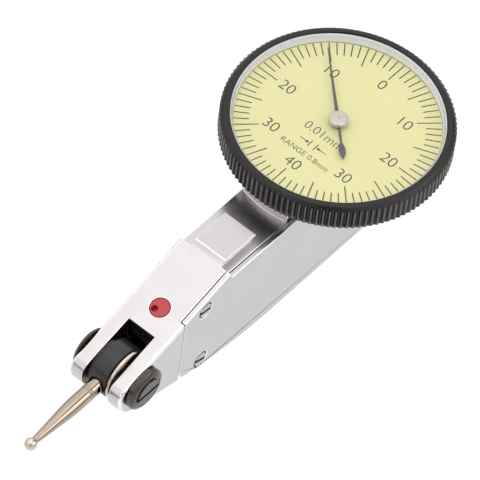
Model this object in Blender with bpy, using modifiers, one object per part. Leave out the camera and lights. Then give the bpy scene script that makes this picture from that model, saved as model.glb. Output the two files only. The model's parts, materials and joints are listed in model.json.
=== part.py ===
"""Lever-type dial test indicator, 0.01 mm reading, dial on top of a slim case.

Run with: blender --background --python part.py

Metres, +Z up. The origin is the middle of the top dovetail's flat face. +Z is the dial's normal, -X points
along the stylus, and the side cover is on -Y. A ball lever 20.9 mm long turns a sector, a crown wheel and a
pointer: 0.8 mm at the ball is one turn of the hand.
"""

import math

import bmesh
import bpy
from mathutils import Matrix, Vector

# Case
CASE_WIDTH = 0.0110
CASE_BOTTOM = -0.0229
CASE_REAR = 0.0427
CASE_TOP = 0.0012
COVER_THICKNESS = 0.0009
FAR_WALL = 0.0012
CEILING = 0.0012
FLOOR_WALL = 0.0019

# Fork and slope
SLOPE_ANGLE = math.radians(17.4)
SLOPE_TOP_X = -0.0049
SLOPE_TOP_Z = -0.00075
SLOT_WIDTH = 0.0056
SLOT_REAR_X = -0.0206
FORK_UNDER_ANGLE = math.radians(15.5)
FORK_TIP_RADIUS = 0.0053
FORK_BROW_RADIUS = 0.0022
UNDERSIDE_RADIUS = 0.084

# Dovetails
DOVETAIL_WIDTH = 0.0067
DOVETAIL_LENGTH = 0.0077
DOVETAIL_HEIGHT = 0.0020
DOVETAIL_UNDERCUT = 0.0007
REAR_DOVETAIL_Z = -0.0115

# Dial and bezel
DIAL_X = 0.0282
DIAL_Z = 0.00475
BEZEL_RADIUS = 0.0200
BEZEL_BOTTOM = 0.00155
BEZEL_TOP = 0.00675
LIP_RADIUS = 0.01825
LIP_WALL_TOP = 0.0192
SHOULDER_RADIUS = 0.0181
DIAL_RADIUS = 0.0177
DIAL_THICKNESS = 0.0004
BASE_PLATE_THICKNESS = 0.0016
CRYSTAL_THICKNESS = 0.00065
CRYSTAL_RISE = 0.00105

# Stylus
PIVOT_X = -0.0265
PIVOT_Z = -0.01085
STYLUS_LENGTH = 0.0209
STYLUS_DROOP = math.radians(2.1)
SHANK_RADIUS = 0.00142
BALL_RADIUS = 0.0011
NECK_RADIUS = 0.00065
HUB_RADIUS = 0.00487
HUB_WIDTH = 0.0033
ARBOR_RADIUS = 0.0010
PIVOT_HEAD_RADIUS = 0.00395
NEAR_HEAD_HEIGHT = 0.0017
FAR_HEAD_HEIGHT = 0.0010

# Movement
TRAVEL_PER_TURN = 0.0008
GEAR_MODULE = 0.00025
SECTOR_TEETH = 100
CROWN_TEETH = 60
PINION_TEETH = 12
SECTOR_TEETH_CUT = 7
MESH_SLACK = 0.00006
STAFF_RADIUS = 0.0006
CENTRE_STAFF_RADIUS = 0.0005
POINTER_ANGLE = math.radians(46.3)
POINTER_LENGTH = 0.0161
POINTER_TAIL = 0.0082

# Fits
SEAM = 0.00015
GAP = 0.0003
RUN = 0.00005
PIN_SLACK = 0.00006

# Worked out from the sizes above
HALF = CASE_WIDTH / 2
SLOT_HALF = SLOT_WIDTH / 2
NEAR_FACE = -HALF + COVER_THICKNESS + SEAM
CHAMBER_FAR = HALF - FAR_WALL
COVER_FRONT = SLOT_REAR_X + 0.0045
PINION_RADIUS = GEAR_MODULE * PINION_TEETH / 2
SECTOR_RADIUS = GEAR_MODULE * SECTOR_TEETH / 2
CROWN_RADIUS = GEAR_MODULE * CROWN_TEETH / 2
SECTOR_X = DIAL_X - SECTOR_RADIUS - PINION_RADIUS - MESH_SLACK
GEAR_RATIO = (SECTOR_TEETH / PINION_TEETH) * (CROWN_TEETH / PINION_TEETH)
LEVER_RATIO = math.tau * STYLUS_LENGTH / TRAVEL_PER_TURN / GEAR_RATIO
PIN_TO_SECTOR = (SECTOR_X - PIVOT_X) / (1 + LEVER_RATIO)
PIN_X = SECTOR_X - PIN_TO_SECTOR
PIN_RADIUS = 0.0004
LEVER_NEAR = HUB_WIDTH / 2 + 0.0001
LEVER_THICKNESS = 0.0006
SHELF_Z = -DOVETAIL_HEIGHT
CHAMBER_FRONT = SLOT_REAR_X + 0.0131
CHAMBER_REAR = DIAL_X + CROWN_RADIUS + 0.0011
PLATE_FAR = NEAR_FACE + 0.0011
PLATE_THICKNESS = 0.0008
BASE_PLATE_Z = CASE_TOP + SEAM
BASE_PLATE_TOP = BASE_PLATE_Z + BASE_PLATE_THICKNESS
LEDGE_TOP = DIAL_Z - DIAL_THICKNESS - SEAM
SLOPE_MIDDLE_X = -0.01615
AXIS_Y = (-math.pi / 2, 0, 0)
AXIS_MINUS_Y = (math.pi / 2, 0, 0)
AXIS_STYLUS = (0, -math.pi / 2 - STYLUS_DROOP, 0)
AXIS_SLOPE = (0, -SLOPE_ANGLE, 0)
UPRIGHT = (0, 0, 0)


def empty_the_scene():
    for thing in list(bpy.data.objects):
        bpy.data.objects.remove(thing, do_unlink=True)


def new_collection(name):
    made = bpy.data.collections.new(name)
    bpy.context.scene.collection.children.link(made)
    return made


empty_the_scene()
PARTS = new_collection("dial_test_indicator")
CUTTERS = new_collection("cutters")


def finish(name, colour, roughness, metallic):
    made = bpy.data.materials.new(name)
    made.use_nodes = True
    shader = made.node_tree.nodes["Principled BSDF"]
    shader.inputs["Base Color"].default_value = (*colour, 1)
    shader.inputs["Roughness"].default_value = roughness
    shader.inputs["Metallic"].default_value = metallic
    made.diffuse_color = (*colour, 1)
    return made


FINISHES = {
    "chrome": ((0.82, 0.82, 0.83), 0.25, 1.0),
    "steel": ((0.62, 0.61, 0.60), 0.35, 1.0),
    "nickel": ((0.76, 0.70, 0.64), 0.20, 1.0),
    "black": ((0.015, 0.015, 0.016), 0.40, 0.0),
    "brass": ((0.75, 0.55, 0.22), 0.35, 1.0),
    "yellow": ((0.86, 0.80, 0.42), 0.55, 0.0),
    "red": ((0.60, 0.02, 0.03), 0.25, 0.0),
    "clear": ((0.95, 0.97, 0.97), 0.05, 0.0),
    "spring": ((0.10, 0.14, 0.30), 0.30, 1.0),
    "ruby": ((0.55, 0.03, 0.10), 0.10, 0.0),
}


def keep(obj, look):
    """Files the object among the parts, with a finish of its own."""
    if look is None:
        CUTTERS.objects.link(obj)
        obj.hide_render = True
        obj.display_type = "WIRE"
        return obj
    PARTS.objects.link(obj)
    obj.data.materials.append(finish(obj.name, *FINISHES[look]))
    return obj


def mesh_object(name, mesh_data, look, place=(0, 0, 0), turn=UPRIGHT):
    mesh = bpy.data.meshes.new(name)
    mesh_data.to_mesh(mesh)
    mesh_data.free()
    obj = bpy.data.objects.new(name, mesh)
    obj.location = place
    obj.rotation_euler = turn
    return keep(obj, look)


def box(name, low, high, look=None):
    """A box between two corners."""
    made = bmesh.new()
    middle = (Vector(low) + Vector(high)) / 2
    sides = Vector(high) - Vector(low)
    scale = Matrix.Diagonal((*sides, 1))
    bmesh.ops.create_cube(made, size=1, matrix=Matrix.Translation(middle) @ scale)
    return mesh_object(name, made, look)


def rod(name, radius, low, high, place, turn=UPRIGHT, look=None, sides=24):
    """A round bar from low to high along its own axis."""
    made = bmesh.new()
    shift = Matrix.Translation((0, 0, (low + high) / 2))
    bmesh.ops.create_cone(
        made,
        cap_ends=True,
        segments=sides,
        radius1=radius,
        radius2=radius,
        depth=high - low,
        matrix=shift,
    )
    return mesh_object(name, made, look, place, turn)


def turned(name, profile, place, turn=UPRIGHT, look=None, steps=32, ring=False):
    """A lathe shape: profile holds (radius, height) pairs from the top down the outer side."""
    made = bmesh.new()
    points = [made.verts.new((radius, 0, height)) for radius, height in profile]
    for first, second in zip(points, points[1:]):
        made.edges.new((first, second))
    if ring:
        made.edges.new((points[-1], points[0]))
    obj = mesh_object(name, made, look, place, turn)
    screw = obj.modifiers.new("turn", "SCREW")
    screw.steps = steps
    screw.render_steps = steps
    screw.use_merge_vertices = True
    screw.merge_threshold = 0.00001
    screw.use_normal_calculate = False
    return obj


def shade(obj):
    obj.data.shade_smooth()
    obj.data.set_sharp_from_angle(angle=math.radians(35))
    return obj


def outline(name, points, low, high, look=None, turn=(math.pi / 2, 0, 0), place=(0, 0, 0)):
    """A flat outline in X and Z with its thickness from low to high along Y."""
    curve = bpy.data.curves.new(name + "_outline", "CURVE")
    curve.dimensions = "2D"
    curve.fill_mode = "BOTH"
    curve.extrude = (high - low) / 2
    spline = curve.splines.new("POLY")
    spline.points.add(len(points) - 1)
    for knot, (x, z) in zip(spline.points, points):
        knot.co = (x, z, 0, 1)
    spline.use_cyclic_u = True
    source = bpy.data.objects.new(name + "_outline", curve)
    bpy.context.scene.collection.objects.link(source)
    graph = bpy.context.evaluated_depsgraph_get()
    mesh = bpy.data.meshes.new_from_object(source.evaluated_get(graph))
    mesh.name = name
    made = bmesh.new()
    made.from_mesh(mesh)
    bmesh.ops.remove_doubles(made, verts=made.verts, dist=0.000001)
    # A 2D curve lies in X and Y, so it is stood up before its place along Y is set.
    bmesh.ops.rotate(made, verts=made.verts, matrix=Matrix.Rotation(turn[0], 3, "X"))
    shift = (low + high) / 2
    offset = Vector((0, shift, 0)) if turn[0] else Vector((0, 0, shift))
    bmesh.ops.translate(made, verts=made.verts, vec=offset)
    bmesh.ops.recalc_face_normals(made, faces=made.faces)
    made.to_mesh(mesh)
    made.free()
    bpy.data.objects.remove(source, do_unlink=True)
    obj = bpy.data.objects.new(name, mesh)
    obj.location = place
    return keep(obj, look)


def flat_outline(name, points, low, high, look=None, place=(0, 0, 0)):
    """A flat outline in X and Y with its thickness from low to high along Z."""
    return outline(name, points, low, high, look, turn=(0, 0, 0), place=place)


def boolean(obj, other, operation):
    change = obj.modifiers.new(other.name, "BOOLEAN")
    change.operation = operation
    change.solver = "EXACT"
    change.object = other


def cut(obj, *cutters):
    for cutter in cutters:
        boolean(obj, cutter, "DIFFERENCE")
    return obj


def join(obj, *others):
    for other in others:
        boolean(obj, other, "UNION")
    return obj


def round_edges(obj, width, segments=1):
    bevel = obj.modifiers.new("edges", "BEVEL")
    bevel.width = width
    bevel.segments = segments
    bevel.limit_method = "ANGLE"
    bevel.angle_limit = math.radians(40)
    return obj


def rounded(corners, step=math.radians(15)):
    """Points of a closed outline whose corners, given as (x, z, radius), are arcs."""
    points = []
    count = len(corners)
    for index, (x, z, radius) in enumerate(corners):
        here = Vector((x, z))
        before = Vector(corners[index - 1][:2]) - here
        after = Vector(corners[(index + 1) % count][:2]) - here
        if radius <= 0:
            points.append((x, z))
            continue
        before.normalize()
        after.normalize()
        inside = before.angle(after)
        reach = radius / math.tan(inside / 2)
        middle = here + (before + after).normalized() * (radius / math.sin(inside / 2))
        start = here + before * reach - middle
        swing = (here + after * reach - middle).angle_signed(start)
        steps = max(2, math.ceil(abs(swing) / step), math.ceil(radius * abs(swing) / 0.003))
        for number in range(steps + 1):
            angle = swing * number / steps
            spoke = Matrix.Rotation(angle, 2) @ start
            points.append(tuple(middle + spoke))
    return points


def slope_z(x):
    """Height of the sloping front face at x."""
    return SLOPE_TOP_Z - (SLOPE_TOP_X - x) * math.tan(SLOPE_ANGLE)


def underside_z(x):
    """Height of the straight underside of the fork at x."""
    touch_x = PIVOT_X - FORK_TIP_RADIUS * math.sin(FORK_UNDER_ANGLE)
    touch_z = PIVOT_Z - FORK_TIP_RADIUS * math.cos(FORK_UNDER_ANGLE)
    return touch_z - (x - touch_x) * math.tan(FORK_UNDER_ANGLE)


def underside_bend_x():
    """Where the fork's underside, carried on, meets the flat bottom."""
    return PIVOT_X + (underside_z(PIVOT_X) - CASE_BOTTOM) / math.tan(FORK_UNDER_ANGLE)


def side_corners(front, top):
    """Corners of the case seen from the side, up to its rear; front gives the ones ahead of the bend."""
    return [
        *top,
        (CASE_REAR, CASE_BOTTOM, 0.002),
        (underside_bend_x(), CASE_BOTTOM, UNDERSIDE_RADIUS),
        *front,
    ]


def dovetail_cutter(name, side, low_x, high_x):
    """Clears the shelf beside the top dovetail and runs under its edge."""
    edge = DOVETAIL_WIDTH / 2
    inner = edge - DOVETAIL_UNDERCUT
    outer = HALF + 0.002
    points = [
        (side * edge, 0.001),
        (side * edge, -0.0004),
        (side * inner, SHELF_Z),
        (side * outer, SHELF_Z),
        (side * outer, 0.001),
    ]
    cutter = outline(name, points, low_x, high_x)
    cutter.rotation_euler = (0, 0, math.pi / 2)
    cutter.data.transform(Matrix.Scale(-1, 4, (0, 1, 0)))
    cutter.data.flip_normals()
    return cutter


def dovetail_foot(name, place, turn):
    """A dovetail that stands on a flat face, its root sunk a little into the face."""
    edge = DOVETAIL_WIDTH / 2
    root = edge - DOVETAIL_UNDERCUT
    points = [
        (-root, -0.0006),
        (-root, 0),
        (-edge, DOVETAIL_HEIGHT - 0.0004),
        (-edge, DOVETAIL_HEIGHT),
        (edge, DOVETAIL_HEIGHT),
        (edge, DOVETAIL_HEIGHT - 0.0004),
        (root, 0),
        (root, -0.0006),
    ]
    foot = outline(name, points, -DOVETAIL_LENGTH / 2, DOVETAIL_LENGTH / 2)
    foot.location = place
    foot.rotation_euler = turn
    return foot


COVER_SCREWS = {
    "cover_screw_upper_front": (-0.0107, slope_z(-0.0107) - 0.0026),
    "cover_screw_lower_front": (-0.0105, -0.0189),
    "cover_screw_upper_rear": (CHAMBER_REAR + 0.0029, SHELF_Z - 0.0026),
    "cover_screw_lower_rear": (CHAMBER_REAR + 0.0029, CASE_BOTTOM + 0.0034),
}
BASE_SCREWS = {"base_screw_front": DIAL_X - 0.0092, "base_screw_rear": DIAL_X + 0.0098}


def make_case():
    """The frame: one milled block with the fork, the dovetails and the chamber for the movement."""
    slope_front = PIVOT_X - FORK_TIP_RADIUS
    shoulder_x = DIAL_X - SHOULDER_RADIUS - 0.0004
    top = [
        (SLOPE_TOP_X, SLOPE_TOP_Z, 0),
        (-DOVETAIL_LENGTH / 2, 0, 0),
        (DOVETAIL_LENGTH / 2, 0, 0),
        (DOVETAIL_LENGTH / 2, SHELF_Z, 0),
        (shoulder_x, SHELF_Z, 0),
        (shoulder_x, CASE_TOP, 0),
        (CASE_REAR, CASE_TOP, 0),
    ]
    front = [
        (slope_front, underside_z(slope_front), FORK_TIP_RADIUS),
        (slope_front, slope_z(slope_front), FORK_BROW_RADIUS),
    ]
    case = outline("case_frame", rounded(side_corners(front, top)), -HALF, HALF, "chrome")
    shelf_end = DOVETAIL_LENGTH / 2 + 0.0005
    cut(
        case,
        box("slot", (slope_front - 0.001, -SLOT_HALF, -0.03), (SLOT_REAR_X, SLOT_HALF, 0.01)),
        box("cover_seat", (COVER_FRONT, -HALF - 0.001, -0.03), (CASE_REAR + 0.001, NEAR_FACE, 0.01)),
        dovetail_cutter("shelf_far", 1, SLOPE_TOP_X, shelf_end),
        dovetail_cutter("shelf_near", -1, SLOPE_TOP_X, shelf_end),
        make_shoulder_cutter(),
        make_chamber_cutter(),
        box(
            "lever_channel",
            (SLOT_REAR_X - 0.001, -0.0012, PIVOT_Z - 0.0022),
            (CHAMBER_FRONT + 0.001, SLOT_HALF - 0.0001, PIVOT_Z + 0.0022),
        ),
    )
    for name, side in (("pivot_hole_near", -1), ("pivot_hole_far", 1)):
        span = sorted((side * (SLOT_HALF - 0.001), side * (HALF + 0.001)))
        cut(case, rod(name, 0.0016, *span, (PIVOT_X, 0, PIVOT_Z), AXIS_Y))
    for name, (x, z) in COVER_SCREWS.items():
        place = (x, 0, z)
        cut(case, rod(name + "_hole", 0.00085, NEAR_FACE - 0.001, NEAR_FACE + 0.0034, place, AXIS_Y, sides=16))
    for name, x in BASE_SCREWS.items():
        cut(case, rod(name + "_hole", 0.00075, CASE_TOP - 0.0013, CASE_TOP + 0.001, (x, 0, 0), sides=16))
    plug_place = (SLOPE_MIDDLE_X, 0, slope_z(SLOPE_MIDDLE_X))
    cut(
        case,
        rod("plug_hole", 0.0018, -0.0030, 0.001, plug_place, AXIS_SLOPE),
        rod("staff_hole", 0.0013, -0.003, 0.003, (DIAL_X, 0, CASE_TOP)),
        rod("crown_pivot_hole", STAFF_RADIUS + RUN, CHAMBER_FAR - 0.001, CHAMBER_FAR + 0.0006,
            (DIAL_X, 0, PIVOT_Z), AXIS_Y, sides=16),
        rod("sector_pivot_hole", STAFF_RADIUS + RUN, CHAMBER_FAR - 0.001, CHAMBER_FAR + 0.0006,
            (SECTOR_X, 0, PIVOT_Z), AXIS_Y, sides=16),
    )
    join(
        case,
        dovetail_foot("rear_dovetail", (CASE_REAR, 0, REAR_DOVETAIL_Z), (math.pi / 2, 0, math.pi / 2)),
        dovetail_foot("bottom_dovetail", (DIAL_X, 0, CASE_BOTTOM), (math.pi, 0, math.pi / 2)),
    )
    return case


def make_shoulder_cutter():
    """Leaves the round shoulder that stands up under the bezel."""
    profile = [
        (SHOULDER_RADIUS + 0.002, 0.01),
        (SHOULDER_RADIUS + 0.002, SHELF_Z),
        (SHOULDER_RADIUS, SHELF_Z),
        (SHOULDER_RADIUS, 0.01),
    ]
    return turned("shoulder", profile, (DIAL_X, 0, 0), steps=96, ring=True)


def make_chamber_cutter():
    """The room for the movement, open towards the side cover."""
    ceiling = SHELF_Z - CEILING
    raised = CASE_TOP - 0.0018
    corners = [
        (CHAMBER_FRONT, CASE_BOTTOM + 0.0039, 0.001),
        (CHAMBER_FRONT, slope_z(CHAMBER_FRONT) - 0.0033, 0.001),
        (CHAMBER_FRONT + 0.0045, ceiling, 0.001),
        (DIAL_X - SHOULDER_RADIUS + 0.0014, ceiling, 0),
        (DIAL_X - SHOULDER_RADIUS + 0.0024, raised, 0),
        (CHAMBER_REAR, raised, 0.001),
        (CHAMBER_REAR, CASE_BOTTOM + FLOOR_WALL, 0.001),
        (CHAMBER_FRONT + 0.0100, CASE_BOTTOM + FLOOR_WALL + 0.0004, 0),
    ]
    return outline("chamber", rounded(corners), -HALF - 0.001, CHAMBER_FAR)


def make_cover():
    """The side plate that closes the chamber, flush with the fork's near cheek."""
    front_z = slope_z(COVER_FRONT + SEAM)
    front_x = COVER_FRONT + SEAM
    top = [
        (SLOPE_TOP_X, SLOPE_TOP_Z, 0),
        (SLOPE_TOP_X + 0.0006, SHELF_Z, 0),
        (CASE_REAR, SHELF_Z, 0),
    ]
    front = [(front_x, underside_z(front_x), 0.0018), (front_x, front_z, 0)]
    corners = side_corners(front, top)
    cover = outline("side_cover", rounded(corners), -HALF, -HALF + COVER_THICKNESS, "chrome")
    for name, (x, z) in COVER_SCREWS.items():
        sink = turned(name + "_sink", [(0, 0.001), (0.00162, 0.001), (0.00162, -0.00035), (0.00095, -0.002), (0, -0.002)],
                      (x, -HALF, z), AXIS_MINUS_Y, steps=20)
        cut(cover, sink)
    return cover


def slotted(obj, place, turn, width, depth, length):
    """Cuts a screwdriver slot across the top of a screw, whose head's face is at its place."""
    slot = box(obj.name + "_slot", (-length, -width / 2, -depth), (length, width / 2, 0.001))
    slot.location = place
    slot.rotation_euler = turn
    return cut(obj, slot)


def make_cover_screws():
    for name, (x, z) in COVER_SCREWS.items():
        place = (x, -HALF - 0.00005, z)
        profile = [(0, 0), (0.00142, 0), (0.00142, -0.00035), (0.0008, -0.0011), (0.0008, -0.0038), (0, -0.0038)]
        screw = turned(name, profile, place, AXIS_MINUS_Y, "steel", steps=20)
        slotted(shade(screw), place, AXIS_MINUS_Y, 0.0004, 0.0004, 0.003)


def make_pivot_screws():
    """Two black screws whose cone points carry the lever's arbor."""
    for name, side, turn, height in (
        ("pivot_screw_near", -1, AXIS_MINUS_Y, NEAR_HEAD_HEIGHT),
        ("pivot_screw_far", 1, AXIS_Y, FAR_HEAD_HEIGHT),
    ):
        face = HALF + SEAM + height
        reach = face - SLOT_HALF + RUN
        point = face - (SLOT_HALF - 0.00085)
        profile = [
            (0, 0),
            (PIVOT_HEAD_RADIUS - 0.0009, 0),
            (PIVOT_HEAD_RADIUS - 0.0009, -0.0004),
            (PIVOT_HEAD_RADIUS - 0.0003, -0.0004),
            (PIVOT_HEAD_RADIUS, -0.0007),
            (PIVOT_HEAD_RADIUS, -height),
            (0.0015, -height),
            (0.0015, -reach),
            (0.0006, -reach),
            (0, -point),
        ]
        place = (PIVOT_X, side * face, PIVOT_Z)
        screw = turned(name, profile, place, turn, "black", steps=32)
        slotted(shade(screw), place, turn, 0.0007, 0.0006, 0.0028)


def make_plug():
    """The red plug on the slope, with its off-centre adjusting hole."""
    top = (SLOPE_MIDDLE_X, 0, slope_z(SLOPE_MIDDLE_X))
    profile = [(0, 0), (0.0017, 0), (0.0017, -0.0019), (0, -0.0019)]
    plug = turned("adjuster_plug", profile, top, AXIS_SLOPE, "red", steps=28)
    bore_place = (top[0] - 0.00062, 0.0006, slope_z(top[0] - 0.00062))
    return cut(shade(plug), rod("adjuster_bore", 0.0006, -0.0014, 0.001, bore_place, AXIS_SLOPE, sides=16))


def make_hub():
    """The drum that holds the stylus, gripped by the friction clutch."""
    half = HUB_WIDTH / 2
    profile = [
        (ARBOR_RADIUS + RUN, half),
        (HUB_RADIUS - 0.0002, half),
        (HUB_RADIUS, half - 0.0002),
        (HUB_RADIUS, -half + 0.0002),
        (HUB_RADIUS - 0.0002, -half),
        (ARBOR_RADIUS + RUN, -half),
    ]
    place = (PIVOT_X, 0, PIVOT_Z)
    hub = turned("hub_drum", profile, place, AXIS_Y, "black", steps=48, ring=True)
    cut(
        hub,
        rod("stylus_thread_hole", 0.00085, 0.0019, 0.0060, place, AXIS_STYLUS, sides=16),
        rod("stylus_spot_face", HUB_WIDTH / 2 - 0.00005, HUB_RADIUS - 0.0006, 0.0060, place, AXIS_STYLUS, sides=24),
    )
    return shade(hub)


def make_stylus():
    """Shank with its thread, double groove, long taper and the ball."""
    seat = HUB_RADIUS - 0.0006 + SEAM
    groove = STYLUS_LENGTH / 3 - 0.0001
    profile = [
        (0, STYLUS_LENGTH - BALL_RADIUS - 0.00005),
        (NECK_RADIUS, STYLUS_LENGTH - BALL_RADIUS - 0.00005),
        (NECK_RADIUS + 0.00003, STYLUS_LENGTH - BALL_RADIUS - 0.0006),
        (SHANK_RADIUS - 0.0001, STYLUS_LENGTH / 2 + 0.0008),
        (SHANK_RADIUS, STYLUS_LENGTH / 2 - 0.0006),
        (SHANK_RADIUS, groove + 0.0004),
        (SHANK_RADIUS - 0.00012, groove + 0.0003),
        (SHANK_RADIUS, groove + 0.0002),
        (SHANK_RADIUS, groove),
        (SHANK_RADIUS - 0.00012, groove - 0.0001),
        (SHANK_RADIUS, groove - 0.0002),
        (SHANK_RADIUS, seat),
        (0.0008, seat),
        (0.0008, 0.0022),
        (0, 0.0022),
    ]
    place = (PIVOT_X, 0, PIVOT_Z)
    shade(turned("stylus_shank", profile, place, AXIS_STYLUS, "nickel", steps=24))
    made = bmesh.new()
    bmesh.ops.create_uvsphere(made, u_segments=20, v_segments=12, radius=BALL_RADIUS)
    bmesh.ops.translate(made, verts=made.verts, vec=(0, 0, STYLUS_LENGTH))
    ball = mesh_object("contact_ball", made, "steel", place, AXIS_STYLUS)
    ball.data.shade_smooth()


def make_lever():
    """Arbor, clutch and the long lever that carries the ball's movement to the sector."""
    place = (PIVOT_X, 0, PIVOT_Z)
    end = SLOT_HALF - 0.0002
    sink = 0.00075
    profile = [
        (0, end - sink),
        (sink, end),
        (ARBOR_RADIUS, end),
        (ARBOR_RADIUS, -end),
        (sink, -end),
        (0, -end + sink),
    ]
    shade(turned("pivot_arbor", profile, place, AXIS_Y, "steel", steps=20))
    far = LEVER_NEAR + LEVER_THICKNESS
    arm = [
        (PIVOT_X + 0.0030, PIVOT_Z - 0.0013, 0),
        (PIN_X - 0.0010, PIVOT_Z - 0.0007, 0),
        (PIN_X + 0.0009, PIVOT_Z - 0.0007, 0.0006),
        (PIN_X + 0.0009, PIVOT_Z + 0.0007, 0.0006),
        (PIN_X - 0.0010, PIVOT_Z + 0.0007, 0),
        (PIVOT_X + 0.0030, PIVOT_Z + 0.0013, 0),
    ]
    lever = outline("transfer_lever", rounded(arm), LEVER_NEAR, far, "steel")
    eye = [(0.0042, far), (0.0042, LEVER_NEAR), (ARBOR_RADIUS + RUN, LEVER_NEAR), (ARBOR_RADIUS + RUN, far)]
    join(lever, turned("lever_eye", eye, place, AXIS_Y, steps=32, ring=True))
    cut(lever, rod("drive_pin_hole", PIN_RADIUS + RUN, LEVER_NEAR - 0.001, far + 0.001,
                   (PIN_X, 0, PIVOT_Z), AXIS_Y, sides=16))
    rod("drive_pin", PIN_RADIUS, -0.0007, far, (PIN_X, 0, PIVOT_Z), AXIS_Y, "steel", sides=16)
    near = -HUB_WIDTH / 2 - 0.00025
    washer = [
        (HUB_RADIUS - 0.0001, near),
        (HUB_RADIUS - 0.0001, near - 0.0005),
        (ARBOR_RADIUS + RUN, near - 0.0005),
        (ARBOR_RADIUS + RUN, near),
    ]
    shade(turned("clutch_washer", washer, place, AXIS_Y, "brass", steps=40, ring=True))
    spring = [
        (ARBOR_RADIUS + RUN, far + 0.00025),
        (0.0027, far + 0.00010),
        (0.0027, far + 0.00005),
        (ARBOR_RADIUS + RUN, far + 0.00018),
    ]
    shade(turned("clutch_spring", spring, place, AXIS_Y, "spring", steps=28, ring=True))


def gear_points(teeth, pitch_radius, kept=None):
    """Outline of a spur wheel, or of kept teeth about angle 0 with the middle of one tooth there."""
    root = pitch_radius - 1.2 * GEAR_MODULE
    tip = pitch_radius + 0.8 * GEAR_MODULE
    pitch = math.tau / teeth
    numbers = range(teeth) if kept is None else range(-(kept // 2), kept // 2 + 1)
    points = []
    for number in numbers:
        for part, radius in ((-0.24, root), (-0.11, tip), (0.11, tip), (0.24, root)):
            angle = pitch * (number + part)
            points.append((radius * math.cos(angle), radius * math.sin(angle)))
    return points


def make_sector():
    """The sector: a fork that takes the drive pin, an arbor, and the toothed arc."""
    reach = -PIN_TO_SECTOR
    slot = PIN_RADIUS + PIN_SLACK
    front = [
        (0.0016, 0.0016),
        (0, 0.0020),
        (reach + 0.0015, 0.0013),
        (reach - 0.0011, 0.0012),
        (reach - 0.0011, slot),
        (reach + 0.0012, slot),
        (reach + 0.0012, -slot),
        (reach - 0.0011, -slot),
        (reach - 0.0011, -0.0012),
        (reach + 0.0015, -0.0013),
        (0, -0.0020),
        (0.0016, -0.0016),
    ]
    teeth = gear_points(SECTOR_TEETH, SECTOR_RADIUS, SECTOR_TEETH_CUT)
    place = (SECTOR_X, 0, PIVOT_Z)
    points = front[::-1][:6][::-1] + teeth + front[:6]
    sector = outline("sector_gear", points, -0.0004, 0.0004, "brass", place=place)
    cut(
        sector,
        rod("sector_bore", STAFF_RADIUS + RUN, -0.001, 0.001, place, AXIS_Y, sides=16),
        rod("sector_window", 0.0015, -0.001, 0.001, (SECTOR_X + 0.0078, 0, PIVOT_Z), AXIS_Y, sides=20),
    )
    staff("sector_arbor", SECTOR_X)


def staff(name, x):
    """A plain arbor between the movement plate and the far wall."""
    low = PLATE_FAR - PLATE_THICKNESS - 0.0001
    high = CHAMBER_FAR + 0.0005
    profile = [
        (0, high),
        (STAFF_RADIUS, high),
        (STAFF_RADIUS, low),
        (0, low),
    ]
    return shade(turned(name, profile, (x, 0, PIVOT_Z), AXIS_Y, "steel", steps=16))


def make_crown():
    """Pinion driven by the sector, and the crown wheel whose face teeth drive the centre pinion."""
    place = (DIAL_X, 0, PIVOT_Z)
    half_tooth = math.pi / PINION_TEETH
    points = gear_points(PINION_TEETH, PINION_RADIUS)
    pinion = outline("crown_pinion", points, -0.0007, 0.0007, "steel", place=place)
    pinion.rotation_euler = (0, half_tooth, 0)
    cut(pinion, rod("crown_pinion_bore", STAFF_RADIUS + RUN, -0.001, 0.001, place, AXIS_Y, sides=16))
    tip = PINION_RADIUS + MESH_SLACK - 0.8 * GEAR_MODULE
    web = PINION_RADIUS + MESH_SLACK + 1.2 * GEAR_MODULE
    back = web + 0.0006
    inner = CROWN_RADIUS - 0.0006
    outer = CROWN_RADIUS + 0.0006
    profile = [
        (outer, back),
        (outer, tip),
        (inner, tip),
        (inner, web),
        (STAFF_RADIUS + RUN, web),
        (STAFF_RADIUS + RUN, back),
    ]
    crown = turned("crown_gear", profile, place, AXIS_Y, "brass", steps=60, ring=True)
    cut(crown, make_crown_gashes(place, tip, web), make_crown_windows(place, web, back))
    staff("crown_arbor", DIAL_X)


def make_crown_gashes(place, tip, web):
    """The gaps between the crown wheel's teeth, one of them at the top."""
    gashes = bmesh.new()
    pitch = math.tau * CROWN_RADIUS / CROWN_TEETH
    sides = Matrix.Diagonal((0.64 * pitch, 0.002, web - tip + 0.0005, 1))
    for number in range(CROWN_TEETH):
        turn = Matrix.Rotation(math.tau * number / CROWN_TEETH, 4, "Z")
        shift = Matrix.Translation((0, -CROWN_RADIUS, (web + tip - 0.0005) / 2))
        bmesh.ops.create_cube(gashes, size=1, matrix=turn @ shift @ sides)
    return mesh_object("crown_gashes", gashes, None, place, AXIS_Y)


def make_crown_windows(place, web, back):
    """Five round windows that make the wheel light."""
    windows = bmesh.new()
    for number in range(5):
        turn = Matrix.Rotation(math.tau * number / 5, 4, "Z")
        shift = Matrix.Translation((0, 0.58 * CROWN_RADIUS, (web + back) / 2))
        bmesh.ops.create_cone(windows, cap_ends=True, segments=16, radius1=0.0017, radius2=0.0017,
                              depth=0.003, matrix=turn @ shift)
    return mesh_object("crown_windows", windows, None, place, AXIS_Y)


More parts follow.
